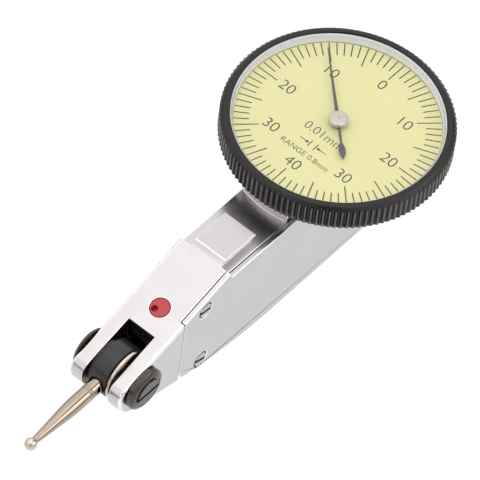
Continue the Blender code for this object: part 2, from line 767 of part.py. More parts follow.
def make_centre():
    """Centre arbor with its pinion, the hairspring and its collet, the hand and the cap."""
    place = (DIAL_X, 0, 0)
    foot = PIVOT_Z + CROWN_RADIUS - 0.0030
    top = DIAL_Z + 0.0011
    profile = [(0, top), (CENTRE_STAFF_RADIUS, top), (CENTRE_STAFF_RADIUS, foot), (0, foot)]
    shade(turned("centre_arbor", profile, place, UPRIGHT, "steel", steps=16))
    low = PIVOT_Z + CROWN_RADIUS - 0.0011
    high = PIVOT_Z + CROWN_RADIUS + 0.0010
    points = gear_points(PINION_TEETH, PINION_RADIUS)
    pinion = flat_outline("centre_pinion", points, low, high, "steel", place=place)
    cut(pinion, rod("centre_pinion_bore", CENTRE_STAFF_RADIUS + RUN, low - 0.001, high + 0.001, place, sides=16))
    collet_low = high + 0.0004
    collet = [
        (0.0010, collet_low + 0.0007),
        (0.0010, collet_low),
        (CENTRE_STAFF_RADIUS + RUN, collet_low),
        (CENTRE_STAFF_RADIUS + RUN, collet_low + 0.0007),
    ]
    shade(turned("hairspring_collet", collet, place, UPRIGHT, "brass", steps=20, ring=True))
    make_hairspring(collet_low + 0.0001)
    make_hand(place)


def make_hairspring(low):
    """A flat spiral round the collet, its outer end at the stud."""
    turns = 4
    steps = 16 * turns
    inner = 0.0011
    outer = 0.0034
    half = 0.00006
    inside = []
    outside = []
    for number in range(steps + 1):
        angle = math.tau * turns * number / steps
        radius = inner + half + (outer - inner - half) * number / steps
        inside.append(((radius - half) * math.cos(angle), (radius - half) * math.sin(angle)))
        outside.append(((radius + half) * math.cos(angle), (radius + half) * math.sin(angle)))
    flat_outline("hairspring", inside + outside[::-1], low, low + 0.0004, "spring", place=(DIAL_X, 0, 0))
    stud_x = DIAL_X + outer + 0.0004
    rod("hairspring_stud", 0.0003, low - 0.0003, CASE_TOP - 0.0018 - SEAM, (stud_x, 0, 0), UPRIGHT, "brass", sides=12)


def make_hand(place):
    """The hand with its leaf-shaped tail, and the silver cap over its boss."""
    half_root = 0.0003
    points = [
        (POINTER_LENGTH, 0.00007),
        (0.0016, half_root),
        (0.0009, 0.0007),
        (0, 0.0010),
        (-0.0009, 0.0007),
        (-0.0016, 0.0002),
        (-0.0046, 0.00018),
        (-0.0058, 0.00058),
        (-0.0070, 0.0005),
        (-POINTER_TAIL, 0),
    ]
    mirrored = [(x, -y) for x, y in points[::-1] if y]
    low = DIAL_Z + 0.0006
    hand = flat_outline("pointer_hand", points + mirrored, low, low + 0.00016, "black", place=place)
    hand.rotation_euler = (0, 0, POINTER_ANGLE)
    cut(hand, rod("hand_bore", CENTRE_STAFF_RADIUS + RUN, low - 0.001, low + 0.001, place, sides=16))
    base = DIAL_Z + 0.00090
    cap = [
        (0, base + 0.00075),
        (0.0007, base + 0.00072),
        (0.0013, base + 0.00058),
        (0.00165, base + 0.00030),
        (0.00165, base),
        (CENTRE_STAFF_RADIUS + RUN, base),
        (CENTRE_STAFF_RADIUS + RUN, base + 0.0003),
        (0, base + 0.0003),
    ]
    shade(turned("pointer_cap", cap, place, UPRIGHT, "chrome", steps=28))


def make_movement_plate():
    """The plate that carries the near ends of the arbors and, on a lug, the foot bearing."""
    near = PLATE_FAR - PLATE_THICKNESS
    foot = PIVOT_Z + CROWN_RADIUS - 0.0030
    corners = [
        (SECTOR_X - 0.0026, PIVOT_Z - 0.0055, 0.0015),
        (SECTOR_X + 0.0060, CASE_BOTTOM + 0.0026, 0.0015),
        (CHAMBER_REAR - 0.0004, CASE_BOTTOM + 0.0026, 0.0015),
        (CHAMBER_REAR - 0.0004, foot + 0.0004, 0.0015),
        (SECTOR_X - 0.0026, PIVOT_Z + 0.0030, 0.0015),
    ]
    plate = outline("movement_plate", rounded(corners), near, PLATE_FAR, "brass")
    lug_low = foot - 0.0011
    lug_high = foot + 0.0002
    join(plate, box("foot_lug", (DIAL_X - 0.0013, near + 0.0003, lug_low), (DIAL_X + 0.0013, 0.0013, lug_high)))
    cut(
        plate,
        rod("plate_crown_bore", STAFF_RADIUS + RUN, near - 0.001, PLATE_FAR + 0.001,
            (DIAL_X, 0, PIVOT_Z), AXIS_Y, sides=16),
        rod("plate_sector_bore", STAFF_RADIUS + RUN, near - 0.001, PLATE_FAR + 0.001,
            (SECTOR_X, 0, PIVOT_Z), AXIS_Y, sides=16),
        rod("jewel_seat", 0.0009, foot - 0.0006, foot + 0.001, (DIAL_X, 0, 0), sides=16),
    )
    jewel = [
        (0.00085, foot + 0.0001),
        (0.00085, foot - 0.0005),
        (0, foot - 0.0005),
        (0, foot - RUN),
        (CENTRE_STAFF_RADIUS + RUN, foot - RUN),
        (CENTRE_STAFF_RADIUS + RUN, foot + 0.0001),
    ]
    shade(turned("foot_jewel", jewel[3:] + jewel[:3], (DIAL_X, 0, 0), UPRIGHT, "ruby", steps=16))
    for name, x, z in (
        ("plate_screw_front", SECTOR_X + 0.0008, PIVOT_Z - 0.0045),
        ("plate_screw_rear", CHAMBER_REAR - 0.0020, CASE_BOTTOM + 0.0042),
    ):
        make_plate_post(name, x, z, near)


def make_plate_post(name, x, z, near):
    """A shouldered post screw that holds the movement plate off the far wall."""
    cut(bpy.data.objects["movement_plate"],
        rod(name + "_hole", 0.0007, near - 0.001, PLATE_FAR + 0.001, (x, 0, z), AXIS_Y, sides=16))
    cut(bpy.data.objects["case_frame"],
        rod(name + "_seat", 0.0007, CHAMBER_FAR - 0.001, CHAMBER_FAR + 0.0006, (x, 0, z), AXIS_Y, sides=16))
    high = CHAMBER_FAR + 0.0005
    shoulder = PLATE_FAR + RUN
    profile = [
        (0, high),
        (0.00065, high),
        (0.00065, CHAMBER_FAR - RUN),
        (0.0011, CHAMBER_FAR - RUN),
        (0.0011, shoulder),
        (0.00065, shoulder),
        (0.00065, near - 0.0001),
        (0, near - 0.0001),
    ]
    shade(turned(name, profile, (x, 0, z), AXIS_Y, "steel", steps=16))


def make_base_plate():
    """The round plate under the dial, on which the bezel turns."""
    rim = LIP_RADIUS + 0.00005
    middle = (BASE_PLATE_Z + BASE_PLATE_TOP) / 2
    profile = [
        (rim, BASE_PLATE_TOP),
        (rim, middle + 0.0004),
        (rim - 0.0008, middle + 0.0004),
        (rim - 0.0008, middle - 0.0004),
        (rim, middle - 0.0004),
        (rim, BASE_PLATE_Z),
        (0.0019, BASE_PLATE_Z),
        (0.0019, BASE_PLATE_TOP),
    ]
    plate = turned("dial_base_plate", profile, (DIAL_X, 0, 0), UPRIGHT, "steel", steps=64, ring=True)
    for name, x in BASE_SCREWS.items():
        sink = [(0, 0.001), (0.0020, 0.001), (0.0020, -0.0002), (0.0009, -0.0012), (0.0009, -0.003), (0, -0.003)]
        cut(plate, turned(name + "_sink", sink, (x, 0, BASE_PLATE_TOP), steps=20))
        head = [(0, 0), (0.0017, 0), (0.0017, -0.0001), (0.0007, -0.0010), (0.0007, -0.0026), (0, -0.0026)]
        place = (x, 0, BASE_PLATE_TOP)
        screw = turned(name, head, place, UPRIGHT, "steel", steps=20)
        slotted(shade(screw), place, UPRIGHT, 0.0004, 0.0004, 0.003)
    bush = [
        (0.0018, BASE_PLATE_TOP - 0.0001),
        (0.0018, BASE_PLATE_Z + 0.0002),
        (CENTRE_STAFF_RADIUS + RUN, BASE_PLATE_Z + 0.0002),
        (CENTRE_STAFF_RADIUS + RUN, BASE_PLATE_TOP - 0.0001),
    ]
    shade(turned("centre_bush", bush, (DIAL_X, 0, 0), UPRIGHT, "ruby", steps=20, ring=True))
    ring = [(rim + 0.0005, middle + 0.00022), (rim + 0.0005, middle - 0.00022),
            (rim - 0.00065, middle - 0.00022), (rim - 0.00065, middle + 0.00022)]
    keeper = turned("bezel_snap_ring", ring, (DIAL_X, 0, 0), UPRIGHT, "spring", steps=48, ring=True)
    cut(keeper, box("snap_ring_gap", (DIAL_X + 0.010, -0.0015, -0.01), (DIAL_X + 0.03, 0.0015, 0.02)))


def make_bezel():
    """Knurled ring with a bore for the base plate, a ledge for the dial and a lip over the crystal's rim."""
    middle = (BASE_PLATE_Z + BASE_PLATE_TOP) / 2
    bore = LIP_RADIUS + GAP + 0.0001
    profile = [
        (LIP_WALL_TOP, BEZEL_TOP),
        (BEZEL_RADIUS, BEZEL_TOP - 0.00085),
        (BEZEL_RADIUS, BEZEL_BOTTOM + 0.0003),
        (BEZEL_RADIUS - 0.0003, BEZEL_BOTTOM),
        (bore, BEZEL_BOTTOM),
        (bore, middle - 0.0004),
        (bore + 0.0004, middle - 0.0004),
        (bore + 0.0004, middle + 0.0004),
        (bore, middle + 0.0004),
        (bore, LEDGE_TOP - 0.0005),
        (DIAL_RADIUS - 0.0007, LEDGE_TOP - 0.0005),
        (DIAL_RADIUS - 0.0007, LEDGE_TOP),
        (LIP_RADIUS, LEDGE_TOP),
        (LIP_RADIUS, BEZEL_TOP),
    ]
    shade(turned("bezel", profile, (DIAL_X, 0, 0), UPRIGHT, "black", steps=72, ring=True))


def make_dial():
    """Dial plate, the bright ring round it and the domed crystal."""
    place = (DIAL_X, 0, 0)
    plate = [
        (DIAL_RADIUS, DIAL_Z),
        (DIAL_RADIUS, DIAL_Z - DIAL_THICKNESS),
        (0.0011, DIAL_Z - DIAL_THICKNESS),
        (0.0011, DIAL_Z),
    ]
    shade(turned("dial_plate", plate, place, UPRIGHT, "yellow", steps=64, ring=True))
    ring_low = DIAL_Z + 0.0001
    ring_high = BEZEL_TOP - 0.0013
    ring = [
        (LIP_RADIUS - SEAM, ring_high),
        (LIP_RADIUS - SEAM, ring_low),
        (DIAL_RADIUS, ring_low),
        (DIAL_RADIUS + 0.00022, ring_high),
    ]
    shade(turned("reflector_ring", ring, place, UPRIGHT, "chrome", steps=64, ring=True))
    rim = LIP_RADIUS - SEAM
    rim_low = ring_high + 0.0001
    rim_high = rim_low + CRYSTAL_THICKNESS
    outer = [(rim * part, rim_high + CRYSTAL_RISE * (1 - part**2)) for part in (0, 0.35, 0.65, 0.88, 1)]
    inner = [(rim * part, rim_low + 0.00002 + CRYSTAL_RISE * (1 - part**2)) for part in (0.92, 0.65, 0.35, 0)]
    shade(turned("crystal", [*outer, (rim, rim_low), (rim * 0.95, rim_low), *inner], place, UPRIGHT, "clear", steps=56))


make_case()
make_cover()
make_cover_screws()
make_pivot_screws()
make_plug()
make_hub()
make_stylus()
make_lever()
make_sector()
make_crown()
make_centre()
make_movement_plate()
make_base_plate()
make_bezel()
make_dial()
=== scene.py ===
# %% [markdown]
# ## A lever test indicator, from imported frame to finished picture
# The instrument is a slim plated case with a fork at one end. A ball-tipped stylus swings in the fork, and a
# train of levers and gears inside the case turns a hand on a round dial. The frame gives every solid in its
# true place, in metres, so each visible piece below is modelled right where the frame says it belongs.

# %% Load the frame
import json
import math

import bmesh
import bpy
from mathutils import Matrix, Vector

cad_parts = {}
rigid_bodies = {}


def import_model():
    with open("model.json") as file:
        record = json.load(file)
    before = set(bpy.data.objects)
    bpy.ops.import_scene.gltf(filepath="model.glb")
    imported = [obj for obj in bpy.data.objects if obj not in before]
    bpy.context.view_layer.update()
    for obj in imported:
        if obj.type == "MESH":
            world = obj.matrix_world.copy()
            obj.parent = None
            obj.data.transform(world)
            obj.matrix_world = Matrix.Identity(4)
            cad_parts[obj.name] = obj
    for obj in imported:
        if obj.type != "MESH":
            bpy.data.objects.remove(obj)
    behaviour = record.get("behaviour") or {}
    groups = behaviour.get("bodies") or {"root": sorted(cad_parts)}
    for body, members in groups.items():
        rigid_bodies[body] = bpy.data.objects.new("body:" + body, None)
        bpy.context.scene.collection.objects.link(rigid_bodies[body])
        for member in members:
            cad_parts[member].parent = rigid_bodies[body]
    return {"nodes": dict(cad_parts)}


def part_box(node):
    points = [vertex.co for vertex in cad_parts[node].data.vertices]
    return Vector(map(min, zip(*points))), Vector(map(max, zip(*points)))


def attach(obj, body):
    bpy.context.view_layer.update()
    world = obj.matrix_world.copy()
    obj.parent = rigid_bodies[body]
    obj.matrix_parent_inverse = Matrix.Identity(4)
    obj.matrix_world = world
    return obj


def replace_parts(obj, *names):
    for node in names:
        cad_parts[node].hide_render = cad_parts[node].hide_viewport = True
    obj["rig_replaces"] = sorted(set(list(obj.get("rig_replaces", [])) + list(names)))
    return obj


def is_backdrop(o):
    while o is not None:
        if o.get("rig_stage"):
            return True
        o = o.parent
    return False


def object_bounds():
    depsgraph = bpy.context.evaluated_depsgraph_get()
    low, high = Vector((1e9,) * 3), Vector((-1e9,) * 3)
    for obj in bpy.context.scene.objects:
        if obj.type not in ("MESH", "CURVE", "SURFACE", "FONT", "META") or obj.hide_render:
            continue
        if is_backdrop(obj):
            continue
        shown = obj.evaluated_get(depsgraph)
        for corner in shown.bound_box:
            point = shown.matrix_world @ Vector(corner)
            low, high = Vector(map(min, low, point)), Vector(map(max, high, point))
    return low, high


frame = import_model()
CAD_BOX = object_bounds()
MM = 0.001

# %% [markdown]
# ### Where things are
# All the places come from the frame's own solids. The dial's axis, the pivot of the stylus and the direction
# of the stylus are used again and again, so they get names first.

# %% Places taken from the frame
dial_low, dial_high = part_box("dial_plate")
screw_low, screw_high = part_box("pivot_screw_near")
ball_low, ball_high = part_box("contact_ball")
cover_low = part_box("side_cover")[0]
DIAL = Vector(((dial_low.x + dial_high.x) / 2, 0, dial_high.z))
PIVOT = Vector(((screw_low.x + screw_high.x) / 2, 0, (screw_low.z + screw_high.z) / 2))
BALL = (ball_low + ball_high) / 2
STYLUS_TURN = (0, -math.pi / 2 - math.atan2(PIVOT.z - BALL.z, PIVOT.x - BALL.x), 0)
UPRIGHT = (0, 0, 0)
TO_NEAR_SIDE = (math.pi / 2, 0, 0)
TO_FAR_SIDE = (-math.pi / 2, 0, 0)
print("dial at", DIAL, "pivot at", PIVOT, "ball at", BALL)

# %% [markdown]
# ### The camera
# It stands up and to the front left, far away with a long lens, so parallel edges stay almost parallel.

# %% Camera
bpy.ops.object.camera_add(
    location=(-0.5045, -0.3484, 0.7815),
    rotation=[math.radians(angle) for angle in (37.8311, -4.8844, -49.3406)],
)
camera = bpy.context.object
camera.name = "camera"
camera.data.sensor_width = 36
camera.data.lens = 450
bpy.context.scene.camera = camera
bpy.context.scene.view_settings.view_transform = "Standard"
print("camera stands", round((camera.location - DIAL).length, 3), "m from the dial")

# %% [markdown]
# ### Nodes and colours
# Every material and the sky are node trees, and a node is always made in the same few moves: add it, set its
# fields, fill its inputs. One small function does that. Colours are written as on a paint card, in sRGB hex,
# while light is summed in linear values, so a second function turns one into the other.

# %% Helpers: nodes, colours, a new material
def add_node(tree, kind, inputs=None, **settings):
    """Adds a node, sets its fields, and fills its inputs with values or with links to other sockets."""
    node = tree.nodes.new(kind)
    for field, value in settings.items():
        setattr(node, field, value)
    for name, value in (inputs or {}).items():
        if isinstance(value, bpy.types.NodeSocket):
            tree.links.new(value, node.inputs[name])
        else:
            node.inputs[name].default_value = value
    return node


def colour(hex_code):
    """An sRGB hex colour as linear red, green, blue and alpha."""
    parts = [int(hex_code[i : i + 2], 16) / 255 for i in (1, 3, 5)]
    return (*[part / 12.92 if part <= 0.04045 else ((part + 0.055) / 1.055) ** 2.4 for part in parts], 1)


def start_material(name):
    """A new material with its Principled shader; returns the material, its tree and the shader."""
    made = bpy.data.materials.new(name)
    made.use_nodes = True
    return made, made.node_tree, made.node_tree.nodes["Principled BSDF"]


print("white is", colour("#FFFFFF"), "and mid grey is", colour("#808080"))

# %% [markdown]
# ### Floor
# Small shiny instruments look best on a sheet of opal glass that is lit from below: it stays white and takes
# hardly any shadow. A plain white floor under lamps would turn grey next to bright metal, so the floor
# glows by itself, and has almost no colour of its own to catch the lamps' light.

# %% Light table
FLOOR_SIZE = 3.0
FLOOR_GAP = 0.2 * MM
TABLE_GLOW = 0.99
bpy.ops.mesh.primitive_plane_add(size=FLOOR_SIZE, location=(0, 0, CAD_BOX[0][2] - FLOOR_GAP))
floor = bpy.context.object
floor.name = "light_table"
floor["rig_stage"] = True
table, tree, shader = start_material("opal_glass_light_table")
grain = add_node(tree, "ShaderNodeTexNoise", {"Scale": 40.0, "Detail": 2.0})
tint = add_node(
    tree,
    "ShaderNodeMix",
    {"Factor": grain.outputs["Fac"], "A": colour("#404040"), "B": colour("#484848")},
    data_type="RGBA",
)
tree.links.new(tint.outputs["Result"], shader.inputs["Base Color"])
shader.inputs["Roughness"].default_value = 0.9
shader.inputs["Specular IOR Level"].default_value = 0.0
shader.inputs["Emission Color"].default_value = colour("#FFFFFF")
shader.inputs["Emission Strength"].default_value = TABLE_GLOW
floor.data.materials.append(table)
print(floor.name, "lies at", floor.location.z)

# %% [markdown]
# ### The light tent
# Polished metal shows nothing but its surroundings, so the tent matters more than any lamp. It is a soft
# white sky, brightest overhead, with a dark line at the horizon where the tent ends and a dark opening where
# the camera looks in. On the near side a brighter panel stands behind a dark seam between two of the tent's
# sheets: a round bar shows that seam as one thin dark line along it. All of it depends on the direction of
# the light alone, never on the camera.

# %% Sky of the tent
SKY = ((0.10, 0.16), (0.30, 0.80), (0.55, 0.84), (0.82, 0.82))
TENT_STRENGTH = 1.55
OPENING_STRENGTH = 0.18
OPENING = Vector((-0.60, -0.42, 0.62)).normalized()
world = bpy.data.worlds.new("light_tent")
bpy.context.scene.world = world
world.use_nodes = True
tree = world.node_tree
background = tree.nodes["Background"]
direction = add_node(tree, "ShaderNodeTexCoord").outputs["Generated"]
height = add_node(tree, "ShaderNodeSeparateXYZ", {"Vector": direction})
tent = add_node(tree, "ShaderNodeValToRGB", {"Fac": height.outputs["Z"]})
stops = tent.color_ramp.elements
stops[0].position, stops[0].color = 0.02, (0.06, 0.06, 0.06, 1)
stops[1].position, stops[1].color = 0.96, (1.14, 1.13, 1.13, 1)
for position, grey in SKY:
    stops.new(position).color = (grey, grey, grey * 1.005, 1)
towards = add_node(tree, "ShaderNodeVectorMath", {0: direction, 1: OPENING}, operation="DOT_PRODUCT")
opening = add_node(
    tree,
    "ShaderNodeMapRange",
    {
        "Value": towards.outputs["Value"],
        "From Min": 0.925,
        "From Max": 0.985,
        "To Min": TENT_STRENGTH,
        "To Max": OPENING_STRENGTH,
    },
)
print("the sky has", len(stops), "stops from horizon to top")

# %% Seam and near panel of the tent
SEAM_NORMAL = (0, 0.914, 0.405)
side = add_node(tree, "ShaderNodeVectorMath", {0: direction, 1: SEAM_NORMAL}, operation="DOT_PRODUCT")
ahead = add_node(tree, "ShaderNodeMapRange", {"Value": height.outputs["X"], "From Min": 0.1, "From Max": 0.3})
near = add_node(
    tree,
    "ShaderNodeMapRange",
    {"Value": side.outputs["Value"], "From Min": -0.16, "From Max": -0.10, "To Min": 1.0, "To Max": 0.0},
)
high = add_node(tree, "ShaderNodeMapRange", {"Value": height.outputs["Z"], "From Min": 0.35, "From Max": 0.5})
panel = add_node(
    tree, "ShaderNodeMath", {0: near.outputs["Result"], 1: high.outputs["Result"]}, operation="MULTIPLY"
)
off_seam = add_node(tree, "ShaderNodeMath", {0: side.outputs["Value"]}, operation="ABSOLUTE")
seam = add_node(
    tree,
    "ShaderNodeMapRange",
    {"Value": off_seam.outputs["Value"], "From Min": 0.07, "From Max": 0.12, "To Min": -0.9, "To Max": 0.0},
)
both = add_node(
    tree, "ShaderNodeMath", {0: panel.outputs["Value"], 1: seam.outputs["Result"]}, operation="ADD"
)
extra = add_node(
    tree,
    "ShaderNodeMath",
    {0: both.outputs["Value"], 1: ahead.outputs["Result"], 2: 1.0},
    operation="MULTIPLY_ADD",
)
strength = add_node(
    tree, "ShaderNodeMath", {0: opening.outputs["Result"], 1: extra.outputs["Value"]}, operation="MULTIPLY"
)
tree.links.new(tent.outputs["Color"], background.inputs["Color"])
tree.links.new(strength.outputs["Value"], background.inputs["Strength"])
print("the tent is made of", len(tree.nodes), "nodes")

# %% Key light
KEY_WATTS = 1.5
bpy.ops.object.light_add(type="AREA", location=(-0.25, 0.15, 0.9), rotation=(-0.16, -0.27, 0))
key = bpy.context.object
key.name = "key_light"
key.data.size = 0.5
key.data.energy = KEY_WATTS
key.visible_glossy = False
print(key.name, "gives", KEY_WATTS, "W and doesn't show in reflections")

# %% [markdown]
# ### Tools for the bench: place and turn
# Two moves come back for nearly every piece. One is to put a piece's place into its mesh, so that its object
# stays at the origin as the frame's own solids do. The other is turning: a piece starts as one corner point
# that is extruded along half of its outline and then spun once round, as a lathe would make it. That beats a
# cylinder primitive, because every groove and chamfer of the outline comes with it.

# %% Tools: select, place, turn
SMOOTH_BELOW = math.radians(28)


def only(piece):
    """Makes this the one selected and active object."""
    bpy.ops.object.select_all(action="DESELECT")
    piece.select_set(True)
    bpy.context.view_layer.objects.active = piece


def apply_place(piece, centre, turn):
    """Turns and moves the piece, then puts that place into its mesh."""
    only(piece)
    piece.rotation_euler = turn
    piece.location = centre
    bpy.ops.object.transform_apply(location=True, rotation=True, scale=True)


def turned(name, outline, centre, turn=UPRIGHT, steps=96, closed=False):
    """Spins a chain of (radius, height) points, in mm, round the piece's own Z axis."""
    points = [*outline, outline[0]] if closed else outline
    bpy.ops.object.select_all(action="DESELECT")
    first_radius, first_height = points[0]
    bpy.ops.mesh.primitive_plane_add(size=0.1 * MM, location=(0, 0, 0))
    piece = bpy.context.object
    piece.name = name
    bpy.ops.object.mode_set(mode="EDIT")
    bpy.ops.mesh.select_all(action="SELECT")
    bpy.ops.mesh.merge(type="CENTER")
    bpy.ops.transform.translate(value=(first_radius * MM, 0, first_height * MM))
    for (radius, height), (next_radius, next_height) in zip(points, points[1:]):
        step = ((next_radius - radius) * MM, 0, (next_height - height) * MM)
        bpy.ops.mesh.extrude_vertices_move(TRANSFORM_OT_translate={"value": step})
    bpy.ops.mesh.select_all(action="SELECT")
    bpy.ops.mesh.spin(steps=steps, angle=math.tau, center=(0, 0, 0), axis=(0, 0, 1))
    bpy.ops.mesh.select_all(action="SELECT")
    bpy.ops.mesh.remove_doubles(threshold=0.0008 * MM)
    bpy.ops.mesh.normals_make_consistent(inside=False)
    bpy.ops.object.mode_set(mode="OBJECT")
    bpy.ops.object.shade_smooth_by_angle(angle=SMOOTH_BELOW)
    apply_place(piece, centre, turn)
    return piece


print("tools: only, apply_place, turned")

# %% [markdown]
# ### Tools for the bench: cut, copy, break the edges
# A screwdriver slot is cut with a boolean, which takes one solid out of another. A milled piece is a copy of
# the frame's solid whose loose triangles are merged into whole faces. Its sharp edges are then broken with a
# bevel, and the flat faces keep ruling the shading, so that they stay flat up to the bevel. Every modifier is
# applied at once, so the mesh that is seen is the mesh that is there.

# %% Tools: modify, cut, copy
def modify(piece, kind, **settings):
    """Adds a modifier with its settings and applies it at once."""
    only(piece)
    change = piece.modifiers.new(kind.lower(), kind)
    for field, value in settings.items():
        setattr(change, field, value)
    bpy.ops.object.modifier_apply(modifier=change.name)


def take_out(piece, *cutters):
    """Cuts other pieces out of this one and throws them away."""
    for cutter in cutters:
        modify(piece, "BOOLEAN", operation="DIFFERENCE", solver="EXACT", object=cutter)
        bpy.data.objects.remove(cutter)
    only(piece)
    bpy.ops.object.shade_smooth_by_angle(angle=SMOOTH_BELOW)


def copied(node, name):
    """Copies a frame solid and merges its loose triangles into whole faces."""
    piece = bpy.data.objects.new(name, frame["nodes"][node].data.copy())
    bpy.context.scene.collection.objects.link(piece)
    only(piece)
    bpy.ops.object.mode_set(mode="EDIT")
    bpy.ops.mesh.select_all(action="SELECT")
    bpy.ops.mesh.remove_doubles(threshold=0.003 * MM)
    bpy.ops.mesh.dissolve_limited(angle_limit=math.radians(0.6))
    bpy.ops.object.mode_set(mode="OBJECT")
    piece.data.materials.clear()
    return piece


print("tools: modify, take_out, copied")


# %% Tools: break the edges
SAME_WAY = 0.9999


def flat_bridge(piece, normal, place):
    """Splits a flat face that has a hole in it with one straight cut, in place of slanting edges."""
    only(piece)
    bpy.ops.object.mode_set(mode="EDIT")
    bpy.ops.mesh.select_mode(type="FACE")
    bpy.ops.mesh.select_all(action="DESELECT")
    mesh = bmesh.from_edit_mesh(piece.data)
    for face in mesh.faces:
        face.select = face.normal.dot(normal) > SAME_WAY
    bmesh.update_edit_mesh(piece.data)
    bpy.ops.mesh.bisect(plane_co=(place, 0, 0), plane_no=(1, 0, 0), threshold=0.00001 * MM)
    bpy.ops.mesh.select_mode(type="EDGE")
    bpy.ops.mesh.select_all(action="DESELECT")
    mesh = bmesh.from_edit_mesh(piece.data)
    gone = 0
    for edge in mesh.edges:
        ends = [vert.co.x for vert in edge.verts]
        level = [face for face in edge.link_faces if face.normal.dot(normal) > SAME_WAY]
        edge.select = len(level) == 2 and max(abs(end - place) for end in ends) > 0.01 * MM
        gone += edge.select
    bmesh.update_edit_mesh(piece.data)
    bpy.ops.mesh.dissolve_edges(use_verts=False)
    bpy.ops.mesh.select_mode(type="VERT")
    bpy.ops.object.mode_set(mode="OBJECT")
    print(piece.name, "lost", gone, "slanting edges")


def softened_by_weight(piece, width, weight, edge_highlight_material):
    """Bevels every sharp edge by width in mm times the weight that a function of its middle gives."""
    only(piece)
    bpy.ops.object.mode_set(mode="EDIT")
    mesh = bmesh.from_edit_mesh(piece.data)
    layer = mesh.edges.layers.float.new("bevel_weight_edge")
    for edge in mesh.edges:
        if edge.is_manifold and edge.calc_face_angle() > SMOOTH_BELOW:
            edge[layer] = weight((edge.verts[0].co + edge.verts[1].co) / 2)
    bmesh.update_edit_mesh(piece.data)
    bpy.ops.object.mode_set(mode="OBJECT")
    return softened(piece, width, limit="WEIGHT", edge_highlight_material=edge_highlight_material)


def softened(piece, width, segments=2, limit="ANGLE", edge_highlight_material=None):
    """Bevels the sharp edges (width in mm), and lets the flat faces rule the shading. An edge material, when
    given, paints a highlight on the bevels.
    """
    if edge_highlight_material:
        piece.data.materials.append(None)
        piece.data.materials.append(edge_highlight_material)
    modify(
        piece,
        "BEVEL",
        width=width * MM,
        segments=segments,
        material=1 if edge_highlight_material else -1,
        limit_method=limit,
        angle_limit=SMOOTH_BELOW,
        use_clamp_overlap=False,
    )
    bpy.ops.object.shade_smooth_by_angle(angle=math.radians(50))
    modify(piece, "WEIGHTED_NORMAL", keep_sharp=True, weight=100)
    return piece


print("tools: flat_bridge, softened_by_weight, softened")


# %% Tools: bar, second finish, settle
def lined(piece, material, chosen):
    """Gives a second finish to the faces whose middle the function chosen picks."""
    piece.data.materials.append(material)
    count = 0
    for face in piece.data.polygons:
        if chosen(face.center, face.normal):
            face.material_index = len(piece.data.materials) - 1
            count += 1
    print(piece.name, "has", count, "faces in", material.name)


def bar(name, low, high):
    """A box between two corners, both in metres, used to cut with or as the start of a print."""
    bpy.ops.object.select_all(action="DESELECT")
    middle = (Vector(low) + Vector(high)) / 2
    bpy.ops.mesh.primitive_cube_add(size=1, location=middle)
    piece = bpy.context.object
    piece.name = name
    piece.scale = Vector(high) - Vector(low)
    bpy.ops.object.transform_apply(location=True, rotation=True, scale=True)
    return piece


def settle(piece, body, slot, material, *nodes):
    """Gives the piece its finish, the body that it moves with and the frame solids that it stands for."""
    if piece.data.materials:
        piece.data.materials[0] = material
    else:
        piece.data.materials.append(material)
    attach(piece, body)
    if nodes:
        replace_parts(piece, *nodes)
    print(piece.name, "has", len(piece.data.polygons), "faces")
    return piece


print("tools: lined, bar, settle")

# %% [markdown]
# ### Plated and polished metals
# Every metal here is one Principled shader with full metallic. What tells them apart is colour and how
# rough they are. Real plate is never even: a soft cloudiness, a few millimetres across, changes its gloss
# a little, and a fine grain keeps reflections from being perfect. The grain of blasted steel under chrome is
# only a few hundredths of a millimetre, too fine to show, so it is drawn about five times coarser.

# %% The one surface behind all the finishes
def surface(name, tints, roughness, spread, grain_mm, grain_depth, cloud_mm, cloud_detail, bumpiness):
    """A surface whose tint and roughness drift with a cloudy pattern, over a fine bumpy grain."""
    made, tree, shader = start_material(name)
    place = add_node(tree, "ShaderNodeTexCoord").outputs["Object"]
    cloud = add_node(
        tree,
        "ShaderNodeTexNoise",
        {"Vector": place, "Scale": 1 / (cloud_mm * MM), "Detail": cloud_detail, "Roughness": 0.6},
    )
    tint = add_node(
        tree,
        "ShaderNodeMix",
        {"Factor": cloud.outputs["Fac"], "A": colour(tints[0]), "B": colour(tints[1])},
        data_type="RGBA",
    )
    low, high = roughness - spread, roughness + spread
    gloss = add_node(
        tree,
        "ShaderNodeMapRange",
        {"Value": cloud.outputs["Fac"], "From Min": 0.3, "From Max": 0.7, "To Min": low, "To Max": high},
    )
    grain = add_node(
        tree, "ShaderNodeTexNoise", {"Vector": place, "Scale": 1 / (grain_mm * MM), "Detail": 2.0}
    )
    bump = add_node(
        tree,
        "ShaderNodeBump",
        {"Height": grain.outputs["Fac"], "Strength": bumpiness, "Distance": grain_depth * MM},
    )
    tree.links.new(tint.outputs["Result"], shader.inputs["Base Color"])
    tree.links.new(gloss.outputs["Result"], shader.inputs["Roughness"])
    tree.links.new(bump.outputs["Normal"], shader.inputs["Normal"])
    return made, shader


print("each finish drifts in tint and gloss, over a grain")


# %% Material: plated metals
def metal(name, tints, roughness, spread, grain_mm, grain_depth, cloud_mm=4.0):
    """A bare or plated metal: fully metallic, with a shallow grain."""
    made, shader = surface(name, tints, roughness, spread, grain_mm, grain_depth, cloud_mm, 3.0, 0.25)
    shader.inputs["Metallic"].default_value = 1.0
    return made


# Chrome over fine-blasted steel: neutral and bright, with soft-edged reflections.
SATIN_CHROME = metal("satin_chrome_plate", ("#C8C4C4", "#C1BEBE"), 0.24, 0.03, 0.22, 0.004)
# The same plate, whiter and glossier, laid on each bevel: a painted highlight, a thin white line along each
# edge.
EDGE_HIGHLIGHT_CHROME = metal("chrome_edge_painted_highlight", ("#F4F3F2", "#E9E8E7"), 0.12, 0.02, 0.20, 0.002, 3.0)
